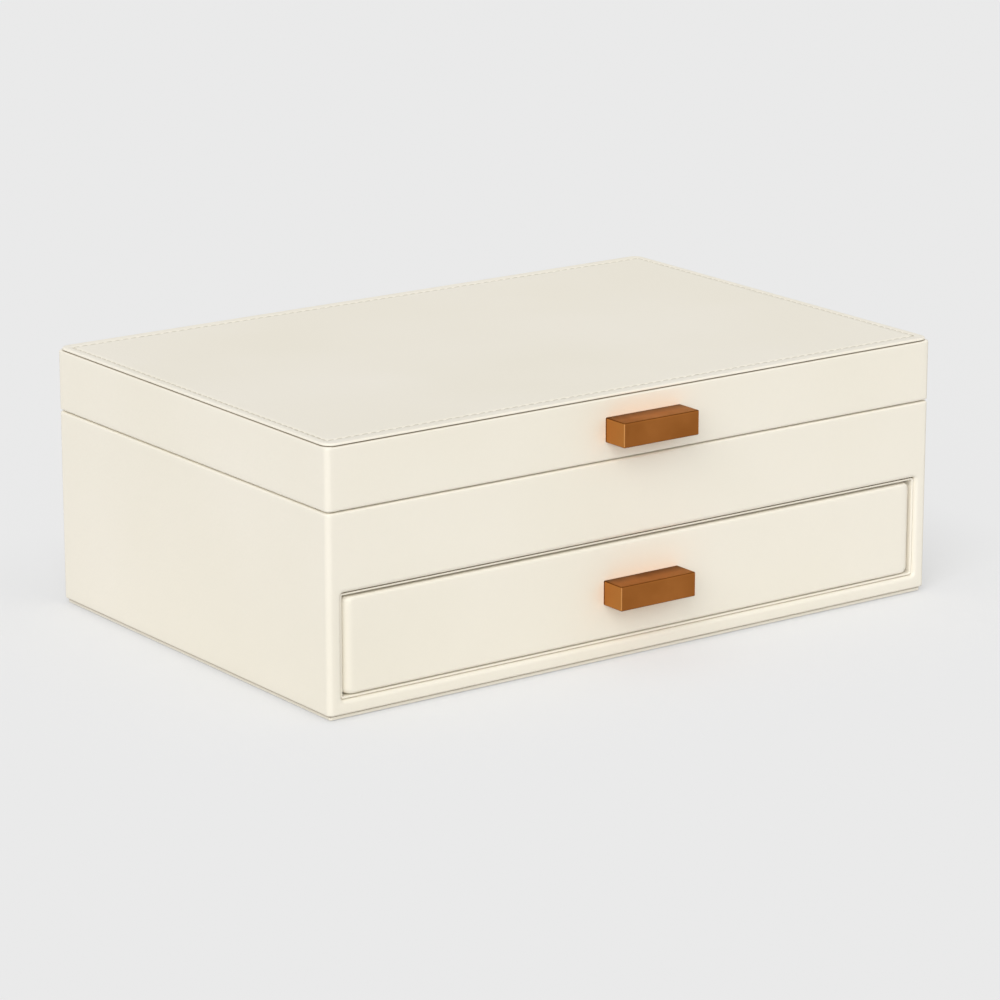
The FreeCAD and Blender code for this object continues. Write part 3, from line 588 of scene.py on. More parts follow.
inset_x = np.hstack([edge_inset, SEAM_INSET_X + across_groove, 5.5, 12.0])
inset_y = np.hstack([edge_inset, SEAM_INSET_Y + across_groove, 7.2, 13.7])
panel_height = np.append(edge_height, np.full(len(across_groove) + 2, PANEL_TOP))
panel_corner = np.maximum(PANEL_CORNER - np.minimum(inset_x, inset_y), 0.2)
panel = rings(around_panel, panel_half[0] - inset_x, panel_half[1] - inset_y, panel_corner,
              panel_height)

place = around_panel[0]
on_x_run = np.abs(np.abs(place[:, 1]) - 1) < 1e-9
walked = np.where(on_x_run, (place[:, 0] + 1) / 2 * STITCHES_X, (place[:, 1] + 1) / 2 * STITCHES_Y)
depth = SHALLOWEST + (DEEPEST - SHALLOWEST) * (0.5 + 0.5 * np.cos(2 * np.pi * walked))
share = 1 - np.abs(across_groove) / GROOVE_HALF
soft = share * share * (3 - 2 * share)
groove_rows = slice(len(edge_rows), len(edge_rows) + len(across_groove))
panel[groove_rows, :, 2] -= soft[:, None] * depth[None]
lid_panel = add_piece("leather_lid_panel", panel, "lid", leather, ["lid_top_panel"])
# painted shade on the underside of the panel's edge
paint_shade(lid_panel, lambda x, y, z: (PANEL_LOW + 0.37 - z) / 0.08)

# %% [markdown]
# ## Stitches
#
# Each stitch is a short, slightly arched length of thread that leans a little, as a lockstitch
# does. One tube of a few dozen faces is repeated at all its places at once by adding arrays.

# %% Thread colour and stitches
THREAD_SUNK = 0.34
thread, tree, shader, place = start_material("thread", Roughness=0.6, Specular_IOR_Level=0.3)
twist = noise(tree, place, 2600.0, Detail=1.0)
fill(tree, shader, Base_Color=mix_colours(tree, twist, linear(196, 190, 172), linear(220, 214, 198)),
     Normal=bumps(tree, twist, 0.00004))


def turned_flat(points, angle):
    """Points turned about the upright axis, by one angle or by one for each copy."""
    x, y, z = np.moveaxis(points, -1, 0)
    c, s = np.cos(angle), np.sin(angle)
    return np.stack([c * x - s * y, s * x + c * y, z + 0 * c], -1)


def one_stitch(length, width, height, lean):
    """A thread between two holes, arched up in the middle and turned by the lean, in degrees."""
    along = np.sin(np.linspace(-np.pi / 2, np.pi / 2, 7))[:, None]
    turn = np.linspace(0, 2 * np.pi, 7)[None, :-1]
    thick = np.sqrt(np.clip(1 - along ** 4, 0, 1))
    x = along * length / 2 + 0 * turn
    y = width / 2 * thick * np.cos(turn)
    z = height * (0.35 + 0.3 * (1 - along ** 2)) + height / 2 * thick * np.sin(turn)
    return turned_flat(np.stack([x, y, z], -1), math.radians(lean))


seam_half = np.array([panel_half[0] - SEAM_INSET_X, panel_half[1] - SEAM_INSET_Y])
middle = []
for count, across in ((STITCHES_X, False), (STITCHES_Y, True)):
    along = (np.arange(count) + 0.5) / count * 2 - 1
    edge = np.ones(count)
    near = np.stack([edge, along] if across else [along, -edge], 1) * seam_half
    middle += [near, -near]
middle = np.vstack(middle)
turned = np.repeat([0, np.pi / 2], [2 * STITCHES_X, 2 * STITCHES_Y])[:, None, None]
stitch = one_stitch(length=2.9, width=0.75, height=0.32, lean=7.0)
spots = np.column_stack([middle, np.full(len(middle), PANEL_TOP - THREAD_SUNK)])[:, None, None]
threads = turned_flat(stitch[None], turned) + spots
rows, columns = stitch.shape[:2]
thread_faces = (grid_faces(rows, columns)[None]
                + (np.arange(len(middle)) * rows * columns)[:, None, None]).reshape(-1, 4)
add_piece("panel_stitches", (threads, thread_faces.tolist()), "lid", thread, sharp=60)
print("stitches", len(middle), "one every", round(2 * seam_half[0] / STITCHES_X, 2), "mm")

# %% [markdown]
# ## The sleeve of the drawer bay
#
# A sleeve of covered card slides into the bay from behind the folded edge, and its front edge
#  shows as a thin border round the drawer. It is a tube with a wall: out along the boards, round
#  the soft front edge in half an ellipse, and back along the inside. Its slack under the top of the
#  opening gives the border a dark line above, and painted shade just behind its top front edge makes
#  that line darker.

# %% Sleeve
SLEEVE_FRONT, INNER_BACK, SLACK, SOFT_EDGE = 91.8, 88.7, 0.3, 0.35
# each size is half the width, then the lower and the upper height
behind = np.array([136.7, 6.8, 48.3])
mouth = np.array([BAY_SIDE - 0.02, BAY_FLOOR + 0.1, BAY_TOP - SLACK])
inside = np.array([134.3, 8.4, 46.2])
turn = np.radians(np.linspace(0, 180, 9))[:, None]
edge_size = mouth + (1 - np.cos(turn)) / 2 * (inside - mouth)
edge_reach = SLEEVE_FRONT - SOFT_EDGE * (1 - np.sin(turn[:, 0]))
half_x, low, high = np.vstack([behind, behind, mouth, edge_size, inside, behind]).T
sleeve_reach = np.hstack([-INNER_BACK, TURN_IN_END, TURN_IN_END, edge_reach, -INNER_BACK,
                          -INNER_BACK])
sleeve_middle = np.stack([0 * low, (low + high) / 2], 1)[:, None, :]
sleeve_shape = facing_front(rings(stations(), half_x, (high - low) / 2,
                                  BAY_CORNER + half_x - BAY_SIDE, sleeve_reach, sleeve_middle))
bay_sleeve = add_piece("leather_bay_sleeve", sleeve_shape, "case", leather, ["bay_lining"],
                       caps=NONE)
# painted shade at the top, just behind the sleeve's front edge
paint_shade(bay_sleeve, lambda x, y, z: np.where(z > mouth[2] - 0.1,
                                                 (y + SLEEVE_FRONT - 0.1) / 0.2, 0))

# %% [markdown]
# ## The drawer front
#
# The drawer front is a board under its own soft-edged skin, a little behind the front of the case.
# Its long edges are rounded by 1.2 mm and its two ends by 3.9 mm, where the padding under the skin
# is thicker, so the left end catches the light. At the back the skin is turned in over a strip of
# the board.

# %% Drawer front
DRAWER_SIDE, FACE_LOW, FACE_HIGH, FACE, OFF_CENTRE = 133.7, 8.9, 45.3, 92.5, -0.15
FACE_BACK, FACE_CORNER, END_ROUND, LONG_ROUND = 86.2, 2.4, 3.9, 1.2
face_half = (DRAWER_SIDE, (FACE_HIGH - FACE_LOW) / 2)
back_rows = [(8.0, FACE_BACK), (3.9, FACE_BACK), (3.7, FACE_BACK - 0.3)]
back_rows += fold(0.4, FACE_BACK + 0.1, 0.4, -90, 0, 3) + [(0.0, FACE_BACK + 1.2)]
back_inset, back_reach = np.array(back_rows).T
turn = np.radians(np.linspace(15, 90, 13))
end_inset = np.append(END_ROUND * (np.cos(turn[0]) - np.cos(turn)), END_ROUND + 2)
depth = np.append(END_ROUND * (1 - np.sin(turn)), 0)
above = np.clip(LONG_ROUND - depth, 0, LONG_ROUND)
long_inset = LONG_ROUND - np.sqrt(LONG_ROUND ** 2 - above ** 2)
long_inset[-1] = LONG_ROUND + 2
face_inset_x, face_inset_z = np.append(back_inset, end_inset), np.append(back_inset, long_inset)
face_corner = np.maximum(FACE_CORNER - np.minimum(face_inset_x, face_inset_z) * 0.6, 0.4)
face_shape = rings(stations((-0.985, 0.985), (-0.93, 0.93)), face_half[0] - face_inset_x,
                   face_half[1] - face_inset_z, face_corner,
                   np.append(back_reach, FACE - depth),
                   (OFF_CENTRE, (FACE_HIGH + FACE_LOW) / 2))
add_piece("leather_drawer_front", facing_front(face_shape), "drawer", leather,
          ["drawer_front_wrap", "drawer_front_board"])

# %% [markdown]
# ## Bar pulls
#
# Both pulls are the same square bar of bronze-coloured metal. The surface is satin: fine lines run
#  along the bar, and a slight cloudiness changes the gloss. Light and shade are painted into its
#  colour, told apart by which way the surface faces: the cut ends are painted lighter, the upright
#  bevels get a painted highlight, and the level ones a painted dark line. Close to the leather the
#  bar has painted shade too. Satin metal also warms the pale leather round it, so matt surfaces see
#  the bar in a lighter colour.

# %% Bronze
brushed, given, out = new_group(
    "brushed_lines", [("Place", None), ("Fineness", 1.0)], ["Height", "Cloud"])
longer = add_node(brushed, "Mapping", Vector=given["Place"], Scale=(40.0, 2600.0, 2600.0))
fill(brushed, out, Height=noise(brushed, longer.outputs[0], given["Fineness"], Detail=2.0),
     Cloud=noise(brushed, given["Place"], 90.0, Detail=2.0))

bar_faces, given, out = new_group("bar_faces", [("Facing", None)], ["End", "Upright", "Level"])
positive = calculate(bar_faces, "ABSOLUTE", given["Facing"], kind="VectorMath")
part = add_node(bar_faces, "SeparateXYZ", Vector=positive).outputs
largest = calculate(bar_faces, "MAXIMUM",
                    calculate(bar_faces, "MAXIMUM", part["X"], part["Y"]), part["Z"])
bevel = stretch(bar_faces, largest, 0.97, 0.85)
fill(bar_faces, out, End=stretch(bar_faces, part["X"], 0.6, 0.9),
     Upright=calculate(bar_faces, "MULTIPLY", bevel, stretch(bar_faces, part["Z"], 0.4, 0.15)),
     Level=calculate(bar_faces, "MULTIPLY", bevel, stretch(bar_faces, part["Z"], 0.15, 0.4)))


def make_metal(name, dark, light, rough, depth, edge=(1.0, 1.0, 1.0, 1.0), bar=None):
    """Satin metal. bar holds five more colours for a bar that lies along X: its cut ends, painted
    lighter; a painted highlight on its upright bevels; painted shade on its level bevels and at its
    foot on the leather; and the warm light it sends back to matt things near it."""
    material, tree, shader, place = start_material(name, Metallic=1.0, Specular_Tint=edge)
    effect = use_group(tree, brushed, Place=place, Fineness=1.0)
    colour = mix_colours(tree, stretch(tree, effect["Cloud"]), dark, light)
    if bar:
        faces = use_group(tree, bar_faces, Facing=add_node(tree, "TexCoord").outputs["Normal"])
        shares = (faces["End"], faces["Upright"], faces["Level"], painted_shade_share(tree),
                  add_node(tree, "LightPath").outputs["Is Diffuse Ray"])
        for share, part_colour in zip(shares, bar):
            colour = mix_colours(tree, share, colour, part_colour)
    fill(tree, shader, Base_Color=colour,
         Roughness=stretch(tree, effect["Cloud"], new_low=rough + 0.05, new_high=rough - 0.05),
         Normal=bumps(tree, effect["Height"], depth))
    return material


# the bar's colours paint light and shade on it: lighter ends, a highlight on the upright bevels,
# shade on the level bevels and at the foot
bronze = make_metal("satin_bronze", linear(154, 94, 42), linear(168, 105, 50), 0.36, 0.000004,
                    edge=(0.92, 0.74, 0.58, 1.0),
                    bar=(linear(186, 125, 65), linear(214, 152, 90), linear(112, 64, 26),
                         linear(58, 30, 12), linear(224, 158, 98)))

# %% Two pulls
BAR_HALF, BAR_OUT, BAR_BEVEL = (17.5, 4.75), 11.3, 0.5
LID_PULL_UP, DRAWER_PULL_UP, DRAWER_PULL_FROM = 89.6, 26.9, 92.0
# on the top of a bar and on its other sides: how far the painted shade reaches, and how dark it is
REACH_ON_TOP, REACH_BESIDE, DARK_ON_TOP, DARK_BESIDE, FULL_DARK = 6.5, 0.8, 0.9, 0.78, 0.4


def make_pull(bar_from, leather_at, up, body, node):
    """A bar on the front, with painted shade close to the leather; on top the painted shade reaches
        further."""
    end = bar_from + BAR_OUT
    rows = [bar_from - 0.2, leather_at + FULL_DARK, leather_at + REACH_BESIDE, leather_at + 3.0,
            leather_at + REACH_ON_TOP, end - BAR_BEVEL - 1.0]
    profile = ([(0.0, row) for row in rows] + round_top(end, BAR_BEVEL, 4)
               + [(BAR_BEVEL + 0.8, end)])
    shape = carry(stations((-0.97, 0.97), (-0.9, 0.9), arc_steps=5), BAR_HALF, BAR_BEVEL, profile,
                  (0.0, up), tightest=0.05)
    pull = add_piece(f"bronze_{node}", facing_front(shape), body, bronze, [node], sharp=50)

    def painted_bar_shade(x, y, z):
        on_top = z > up + BAR_HALF[1] - 0.1
        reach = np.where(on_top, REACH_ON_TOP, REACH_BESIDE)
        most = np.where(on_top, DARK_ON_TOP, DARK_BESIDE)
        return np.clip((leather_at + reach + y) / (reach - FULL_DARK), 0, 1) * most

    paint_shade(pull, painted_bar_shade)


make_pull(FRONT, FRONT, LID_PULL_UP, "lid", "lid_pull")
make_pull(DRAWER_PULL_FROM, FACE, DRAWER_PULL_UP, "drawer", "drawer_pull")

# %% [markdown]
# ## Suede, velvet and felt
#
# The inside is soft: a suede-like lining, velvet on the rolls and felt under the foot. All three
# are a nap: short fibres that lie in patches where they were brushed. One group makes the fine
# fibre noise, and the slow streaks that turn lighter or darker.

# %% Nap effect and cloth materials
nap, given, out = new_group(
    "cloth_nap", [("Place", None), ("Fibres", 1400.0), ("Brushing", 30.0)], ["Height", "Tone"])
fibres = noise(nap, given["Place"], given["Fibres"], Detail=2.0, Roughness=0.6)
streaks = noise(nap, given["Place"], given["Brushing"], Detail=3.0, Distortion=1.2)
fill(nap, out, Height=fibres, Tone=calculate(
    nap, "ADD", stretch(nap, fibres, new_high=0.45), stretch(nap, streaks, 0.35, 0.65, 0.0, 0.55)))


def make_nap(name, dark, light, sheen, depth, fibres=1400.0, brushing=30.0):
    material, tree, shader, place = start_material(
        name, Roughness=0.95, Specular_IOR_Level=0.12, Sheen_Weight=sheen, Sheen_Roughness=0.45)
    effect = use_group(tree, nap, Place=place, Fibres=fibres, Brushing=brushing)
    fill(tree, shader, Base_Color=mix_colours(tree, effect["Tone"], dark, light),
         Normal=bumps(tree, effect["Height"], depth))
    return material


suede = make_nap("lining_suede", linear(203, 188, 165), linear(221, 208, 187), 0.25, 0.00012)
velvet = make_nap("ring_velvet", linear(208, 193, 170), linear(232, 220, 200), 0.5, 0.00008,
                  fibres=2200.0, brushing=45.0)
felt = make_nap("foot_felt", linear(182, 170, 148), linear(205, 194, 174), 0.1, 0.0003,
                fibres=700.0, brushing=60.0)
print("made", suede.name, velvet.name, felt.name)

# %% [markdown]
# ## The frame round the tray
#
# A padded strip stands inside the case walls, a little over 4 mm higher than the rim, and guides
# the lid down. It is one closed tube round the tray, so that the corners run through.

# %% Tray frame
INNER_SIDE, INNER_FRONT = SIDE - LEATHER - BOARD, FRONT - LEATHER - BOARD
SHELF_TOP, TRAY_FLOOR, FRAME_TOP, FRAME = 50.8, 51.8, 81.8, 2.0


def standing_strip(low, top, thick, soft):
    """A closed profile of an upright strip whose two top edges are rounded."""
    return ([(0.0, low)] + round_top(top, soft, 4)
            + fold(thick - soft, top - soft, soft, 90, 180, 4) + [(thick, low), (0.0, low)])


frame_shape = carry(stations(arc_steps=4), (INNER_SIDE, INNER_FRONT), 0.6,
                    standing_strip(SHELF_TOP, FRAME_TOP, FRAME, 0.8))
add_piece("suede_tray_frame", frame_shape, "case", suede,
          [f"rim_liner_{side}" for side in ("front", "back", "left", "right")], caps=NONE)

# %% [markdown]
# ## Dividers
#
# A divider is a thin board under suede. Its outline is drawn in along a half circle as it nears
# the top. The same function makes the two in the tray and the three in the drawer, and a board
# with all its edges rounded is made in the same way.

# %% Dividers in the tray
DIVIDER, TRAY_SIDE, TRAY_END = 2.5, INNER_SIDE - FRAME, INNER_FRONT - FRAME
TRAY_SPLIT = 178.0 - TRAY_SIDE


def middle_and_half(x_from_to, y_from_to):
    """The middle of a rectangle given by its sides, and half its two sizes."""
    low, high = np.array([x_from_to, y_from_to], float).T
    return (low + high) / 2, (high - low) / 2


def make_divider(name, x_from_to, y_from_to, low, top, body):
    """An upright wall between two corners in plan, rounded at the top by just under half of it."""
    middle, half = middle_and_half(x_from_to, y_from_to)
    soft = min(half) - 0.1
    profile = [(0.15, low), (0.0, low + 0.15), (0.0, top - soft - 1.0)] + round_top(top, soft)
    where = stations((-0.9, 0.9), (-0.9, 0.9), arc_steps=3)
    shape = carry(where, half, 0.3, profile, middle, tightest=0.05)
    add_piece(f"suede_{name}", shape, body, suede, [name], sharp=50)


def make_board(name, x_from_to, y_from_to, z_from_to, soft, body, finish, node, corner=0.5):
    """A board between six planes, with all its edges rounded by the soft radius."""
    middle, half = middle_and_half(x_from_to, y_from_to)
    low, top = z_from_to
    shape = carry(stations((-0.97, 0.97), (-0.97, 0.97), arc_steps=5), half, max(corner, soft),
                  round_low(low, soft, 4) + round_top(top, soft, 4), middle, tightest=0.05)
    add_piece(name, shape, body, finish, [node], sharp=50)


tray_top = TRAY_FLOOR + 20
make_divider("tray_divider", (TRAY_SPLIT, TRAY_SPLIT + DIVIDER), (-TRAY_END, TRAY_END), TRAY_FLOOR,
             tray_top, "case")
make_divider("tray_cross_divider", (TRAY_SPLIT + DIVIDER, TRAY_SIDE), (-DIVIDER / 2, DIVIDER / 2),
             TRAY_FLOOR, tray_top, "case")

# %% [markdown]
# ## Thin cushions
#
# The floor of each compartment is a thin foam pad under suede. It is higher in the middle, and its
# sides pull in a little between the corners. It is only 1 to 2 mm thick, too thin for a cloth
# simulation, so its height grows with (1 - u^2)(1 - v^2), where u and v run from -1 to 1 across
# the pad.

# %% A cushion worked out directly
PULL_IN = 0.5


def make_cushion(name, x_from_to, y_from_to, low, edge, crown, body, nodes, facing=1, steps=12):
    """A pad of the edge thickness with a crown on top. Its rings go over the edge and then inwards
    to the middle. facing is -1 for a pad on a ceiling."""
    middle, half = middle_and_half(x_from_to, y_from_to)
    profile = ([(min(half) * 0.8, 0.0), (edge, 0.0)]
               + fold(edge / 2, edge / 2, edge / 2, -90, 90, 6)
               + [(inset, edge) for inset in np.linspace(edge, min(half) - 0.4, steps)])
    run = np.linspace(-0.97, 0.97, 13)
    shape = carry(stations(run, run, arc_steps=5), half, 2.5, profile, tightest=0.1)
    u, v = shape[..., 0] / half[0], shape[..., 1] / half[1]
    shape[..., 0] -= PULL_IN * u * (1 - v ** 2)
    shape[..., 1] -= PULL_IN * v * (1 - u ** 2)
    rise = np.clip((1 - u ** 2) * (1 - v ** 2), 0, 1) ** 0.45
    shape[..., 2] += np.where(shape[..., 2] > edge * 0.6, crown * rise, 0.0)
    shape[..., :2] += middle
    shape[..., 2] = low + facing * shape[..., 2]
    add_piece(name, shape, body, suede, nodes, sharp=60)


for name, along in (("front", (-TRAY_END + 0.2, -DIVIDER / 2 - 0.2)),
                    ("back", (DIVIDER / 2 + 0.2, TRAY_END - 0.2))):
    make_cushion(f"suede_tray_cushion_{name}", (TRAY_SPLIT + DIVIDER + 0.2, TRAY_SIDE - 0.2), along,
                 SHELF_TOP, 1.0, 1.6, "case", ["tray_floor_pad"])

# %% [markdown]
# ## Ring rolls by cloth simulation
#
# A ring roll is foam in a velvet sleeve. It is flat below, round above, and swells a little where
# the cover is free, which is what a cloth simulation with air pressure gives. The blank is turned
# into even voxels and simulated at ten times its size, where the solver is at ease. One roll is
# simulated and pressed against its room. The eight rolls are that one, turned so that no two
# neighbours look alike, on a plain sheet of suede.

# %% Blow up a mesh
def evaluated_mesh(thing):
    return bpy.data.meshes.new_from_object(
        thing.evaluated_get(bpy.context.evaluated_depsgraph_get()))


def blow_up(points, faces, voxel, most, pressure=4.0, last_frame=20, scale=10.0):
    """The points and faces of a blank after voxels and a pressure cloth, in millimetres. most is
    how far a point may move. The simulation runs on a copy scale times as large."""
    mesh = bpy.data.meshes.new("blank")
    mesh.from_pydata((np.asarray(points).reshape(-1, 3) * MM * scale).tolist(), [], faces)
    blank = add_object("blank", mesh)
    even = blank.modifiers.new("even", "REMESH")
    even.mode = "VOXEL"
    even.voxel_size = voxel * MM * scale
    shaped = evaluated_mesh(blank)
    blank.modifiers.clear()
    blank.data = shaped
    before = read_points(shaped)
    cloth = blank.modifiers.new("cloth", "CLOTH")
    cloth.settings.use_pressure = True
    cloth.settings.uniform_pressure_force = pressure
    cloth.settings.effector_weights.gravity = 0.0
    cloth.point_cache.frame_start = 1
    cloth.point_cache.frame_end = last_frame
    for frame_number in range(1, last_frame + 1):
        bpy.context.scene.frame_set(frame_number)
    blown = evaluated_mesh(blank)
    move = (read_points(blown) - before) / (MM * scale)
    length = np.linalg.norm(move, axis=1, keepdims=True)
    move *= np.minimum(1.0, most / np.maximum(length, 1e-9))
    blown_faces = [list(face.vertices) for face in blown.polygons]
    bpy.data.objects.remove(blank)
    bpy.context.scene.frame_set(1)
    print("blown up:", len(before), "points, moved", length.mean().round(2), "on average and",
          length.max().round(2), "at most before the limit of", most)
    return before / (MM * scale) + move, blown_faces


# %% One blank, eight rolls
ROLLS, ROLL_HEIGHT, ROLL_GAP = 8, 20.0, 0.12
PITCH = 2 * TRAY_END / ROLLS
roll_half = (TRAY_SIDE + TRAY_SPLIT) / 2 - 0.3


def roll_section(half_width, height, foot, top, steps=8):
    """A cross-section: small arcs of radius foot below, large arcs of radius top above."""
    corners = [(half_width - foot, foot, foot, -90), (half_width - top, height - top, top, 0),
               (-half_width + top, height - top, top, 90), (-half_width + foot, foot, foot, 180)]
    outline = []
    for across, up, radius, start in corners:
        turn = np.radians(np.linspace(start, start + 90, steps + 1))
        outline.append(np.stack([across + radius * np.cos(turn), up + radius * np.sin(turn)], 1))
    return np.concatenate(outline)


section = roll_section(10.0, ROLL_HEIGHT - 0.9, foot=2.6, top=9.2)
ends = np.array([-1.0, -0.995, -0.98, -0.5, 0.0, 0.5, 0.98, 0.995, 1.0]) * (roll_half - 0.8)
shrink = np.array([0.86, 0.94, 1.0, 1.0, 1.0, 1.0, 1.0, 0.94, 0.86])[:, None]
centre_up = ROLL_HEIGHT / 2 - 0.4
blank_roll = np.stack([np.repeat(ends[:, None], len(section), 1),
                       shrink * section[None, :, 0],
                       centre_up + shrink * (section[None, :, 1] - centre_up)], -1)
roll_points, roll_faces = lofted(blank_roll)
roll_points, roll_faces = blow_up(roll_points, roll_faces, voxel=2.2, most=1.1)
roll_points = np.clip(roll_points, (-roll_half, -PITCH / 2 + ROLL_GAP, 0.0),
                      (roll_half, PITCH / 2 - ROLL_GAP, ROLL_HEIGHT + 0.5))
for number in range(ROLLS):
    flip = np.array([1 if number % 2 else -1, 1 if number % 4 < 2 else -1, 1])
    where = np.array([(TRAY_SPLIT - TRAY_SIDE) / 2, -TRAY_END + (number + 0.5) * PITCH, TRAY_FLOOR])
    turned_faces = roll_faces if flip.prod() > 0 else [face[::-1] for face in roll_faces]
    roll = add_piece(f"velvet_roll_{number + 1}", (roll_points * flip + where, turned_faces),
                     "case", velvet, [f"ring_roll_{number + 1}"], sharp=80)
    finer = roll.modifiers.new("finer", "SUBSURF")
    finer.levels = finer.render_levels = 1
make_board("suede_under_rolls", (-TRAY_SIDE, TRAY_SPLIT + DIVIDER), (-TRAY_END, TRAY_END),
           (SHELF_TOP, TRAY_FLOOR), 0.2, "case", suede, "tray_floor_pad")

# %% [markdown]
# ## Inside the lid
#
# The lid has suede round its inner walls, a closed tube like the tray frame, and on its ceiling
# the same kind of cushion as in the tray, facing down.

# %% Lid lining and ceiling pad
LID_BOARD, LID_CLOTH, CEILING = 2.7, 0.3, 98.2
lid_inner = (SIDE - LEATHER - LID_BOARD, FRONT - LEATHER - LID_BOARD)
lining_shape = carry(stations(arc_steps=4), lid_inner, 0.5,
                     standing_strip(LID_LOW + LEATHER, CEILING, LID_CLOTH, 0.1), tightest=0.1)
add_piece("suede_lid_walls", lining_shape, "lid", suede, ["lid_wall_lining"], caps=NONE)
pad_x, pad_y = lid_inner[0] - LID_CLOTH, lid_inner[1] - LID_CLOTH
make_cushion("suede_lid_pad", (-pad_x, pad_x), (-pad_y, pad_y), CEILING, 1.5, 1.8, "lid",
             ["lid_pad"], facing=-1, steps=18)

# %% [markdown]
# ## The drawer box
#
# The drawer's boards are covered in the leather of the case, because their sides show when it is
# pulled out. Its suede lining is one closed profile that goes up the outside, over the top edge,
# down the inside and round a small cove into the floor.

# %% Drawer boards and lining
DRAWER_LOW, DRAWER_FLOOR, WALL_TOP, DRAWER_END = 9.2, 11.7, 41.1, 86.7
DRAWER_BOARD, DRAWER_CLOTH, COVE, LINING_EDGE = 3.0, 0.8, 0.9, 0.35
drawer_inside, room_end = DRAWER_SIDE - DRAWER_BOARD, DRAWER_END - DRAWER_BOARD
whole_depth, wall_height = (-FACE_BACK, DRAWER_END), (DRAWER_FLOOR, WALL_TOP)
for name, across, along, height, soft, node in (
        ("bottom", (-DRAWER_SIDE, DRAWER_SIDE), whole_depth, (DRAWER_LOW, DRAWER_FLOOR), 0.5,
         "drawer_bottom"),
        ("left", (-DRAWER_SIDE, -drawer_inside), whole_depth, wall_height, 0.7, "drawer_side_left"),
        ("right", (drawer_inside, DRAWER_SIDE), whole_depth, wall_height, 0.7, "drawer_side_right"),
        ("back", (-drawer_inside, drawer_inside), (room_end, DRAWER_END), wall_height, 0.7,
         "drawer_back")):
    make_board(f"leather_drawer_{name}", across, along, height, soft, "drawer", leather, node)

lining_half = (drawer_inside, (FACE_BACK + room_end) / 2)
lining_middle = (0.0, (room_end - FACE_BACK) / 2)
CLOTH_FLOOR = DRAWER_FLOOR + DRAWER_CLOTH
lining_profile = ([(30.0, DRAWER_FLOOR), (0.0, DRAWER_FLOOR)] + round_top(WALL_TOP, LINING_EDGE, 4)
                  + fold(DRAWER_CLOTH - LINING_EDGE, WALL_TOP - LINING_EDGE, LINING_EDGE, 90, 180, 4)
                  + fold(DRAWER_CLOTH + COVE, CLOTH_FLOOR + COVE, COVE, 0, -90, 5)
                  + [(30.0, CLOTH_FLOOR)])
lining_shape = carry(stations(arc_steps=4), lining_half, 0.6, lining_profile, lining_middle,
                     tightest=0.5)
add_piece("suede_drawer_lining", lining_shape, "drawer", suede, ["drawer_lining"])

# %% Drawer dividers and pads
MIDDLE, PAD_GAP = 46.0, np.array([0.5, -0.5])
room_x = drawer_inside - DRAWER_CLOTH
room_front, room_back = -FACE_BACK + DRAWER_CLOTH, room_end - DRAWER_CLOTH
cross = (room_front + room_back) / 2
cross_front, cross_back = cross - DIVIDER / 2, cross + DIVIDER / 2
for name, across, along in (
        ("divider_left", (-MIDDLE - DIVIDER, -MIDDLE), (room_front, room_back)),
        ("divider_right", (MIDDLE, MIDDLE + DIVIDER), (room_front, room_back)),
        ("cross_divider", (-MIDDLE, MIDDLE), (cross_front, cross_back))):
    make_divider(f"drawer_{name}", across, along, CLOTH_FLOOR, WALL_TOP - 8.0, "drawer")
for name, across, along in (
        ("left", (-room_x, -MIDDLE - DIVIDER), (room_front, room_back)),
        ("right", (MIDDLE + DIVIDER, room_x), (room_front, room_back)),
        ("middle_front", (-MIDDLE, MIDDLE), (room_front, cross_front)),
        ("middle_back", (-MIDDLE, MIDDLE), (cross_back, room_back))):
    make_cushion(f"suede_drawer_pad_{name}", np.array(across) + PAD_GAP, np.array(along) + PAD_GAP,
                 CLOTH_FLOOR, 0.9, 1.2, "drawer", [])

# %% [markdown]
# ## The felt foot
#
# A thin sheet of felt keeps the box from scratching what it stands on.

# %% Felt underside
FELT_INSET = 6
make_board("felt_foot", (-SIDE + FELT_INSET, SIDE - FELT_INSET),
           (-FRONT + FELT_INSET, FRONT - FELT_INSET), (0.0, 0.5), 0.2, "case", felt, "base_felt",
           corner=CORNER)

# %% [markdown]
# ## Screws
#
# Every screw has a cross recess. Its head is a disc in polar steps: a shallow dome, less a cross
# where the distance to the nearer arm is small. The shank only closes the shape.

# %% Screws with a cross recess
AXIS_UP, LEAF_BACK = 77.95, FRONT + 0.8
HINGE_SCREWS_X, PULL_SCREWS_X = (-89.0, -71.0, 71.0, 89.0), (-10.0, 10.0)


def screw_shape(head, shank, dome, depth, cone, length):
    """Rings from the middle of the head outwards, down its side and along the shank, with the
    head at height 0. The recess falls from its depth to 0 across the edge of the nearer arm."""
    turn = np.linspace(0, 2 * np.pi, 48, endpoint=False)[None]
    radius = head * np.append(np.linspace(0.02, 0.94, 15), 1.0)[:, None]
    x, y = radius * np.cos(turn), radius * np.sin(turn)
    arm = np.minimum(np.abs(x), np.abs(y)) / (0.13 * head)
    inside = np.clip(1.6 - arm, 0, 1) * np.clip((0.66 * head - radius) / (0.1 * head), 0, 1)
    top = np.stack([x, y, dome * (1 - (radius / head) ** 2) - depth * inside], -1)
    r = np.array([head, shank, shank, shank * 0.4])[:, None]
    z = np.array([-0.15, -cone, -length + 0.4, -length])[:, None]
    rest = np.stack([r * np.cos(turn), r * np.sin(turn), z + 0 * turn], -1)
    return np.concatenate([top, rest])


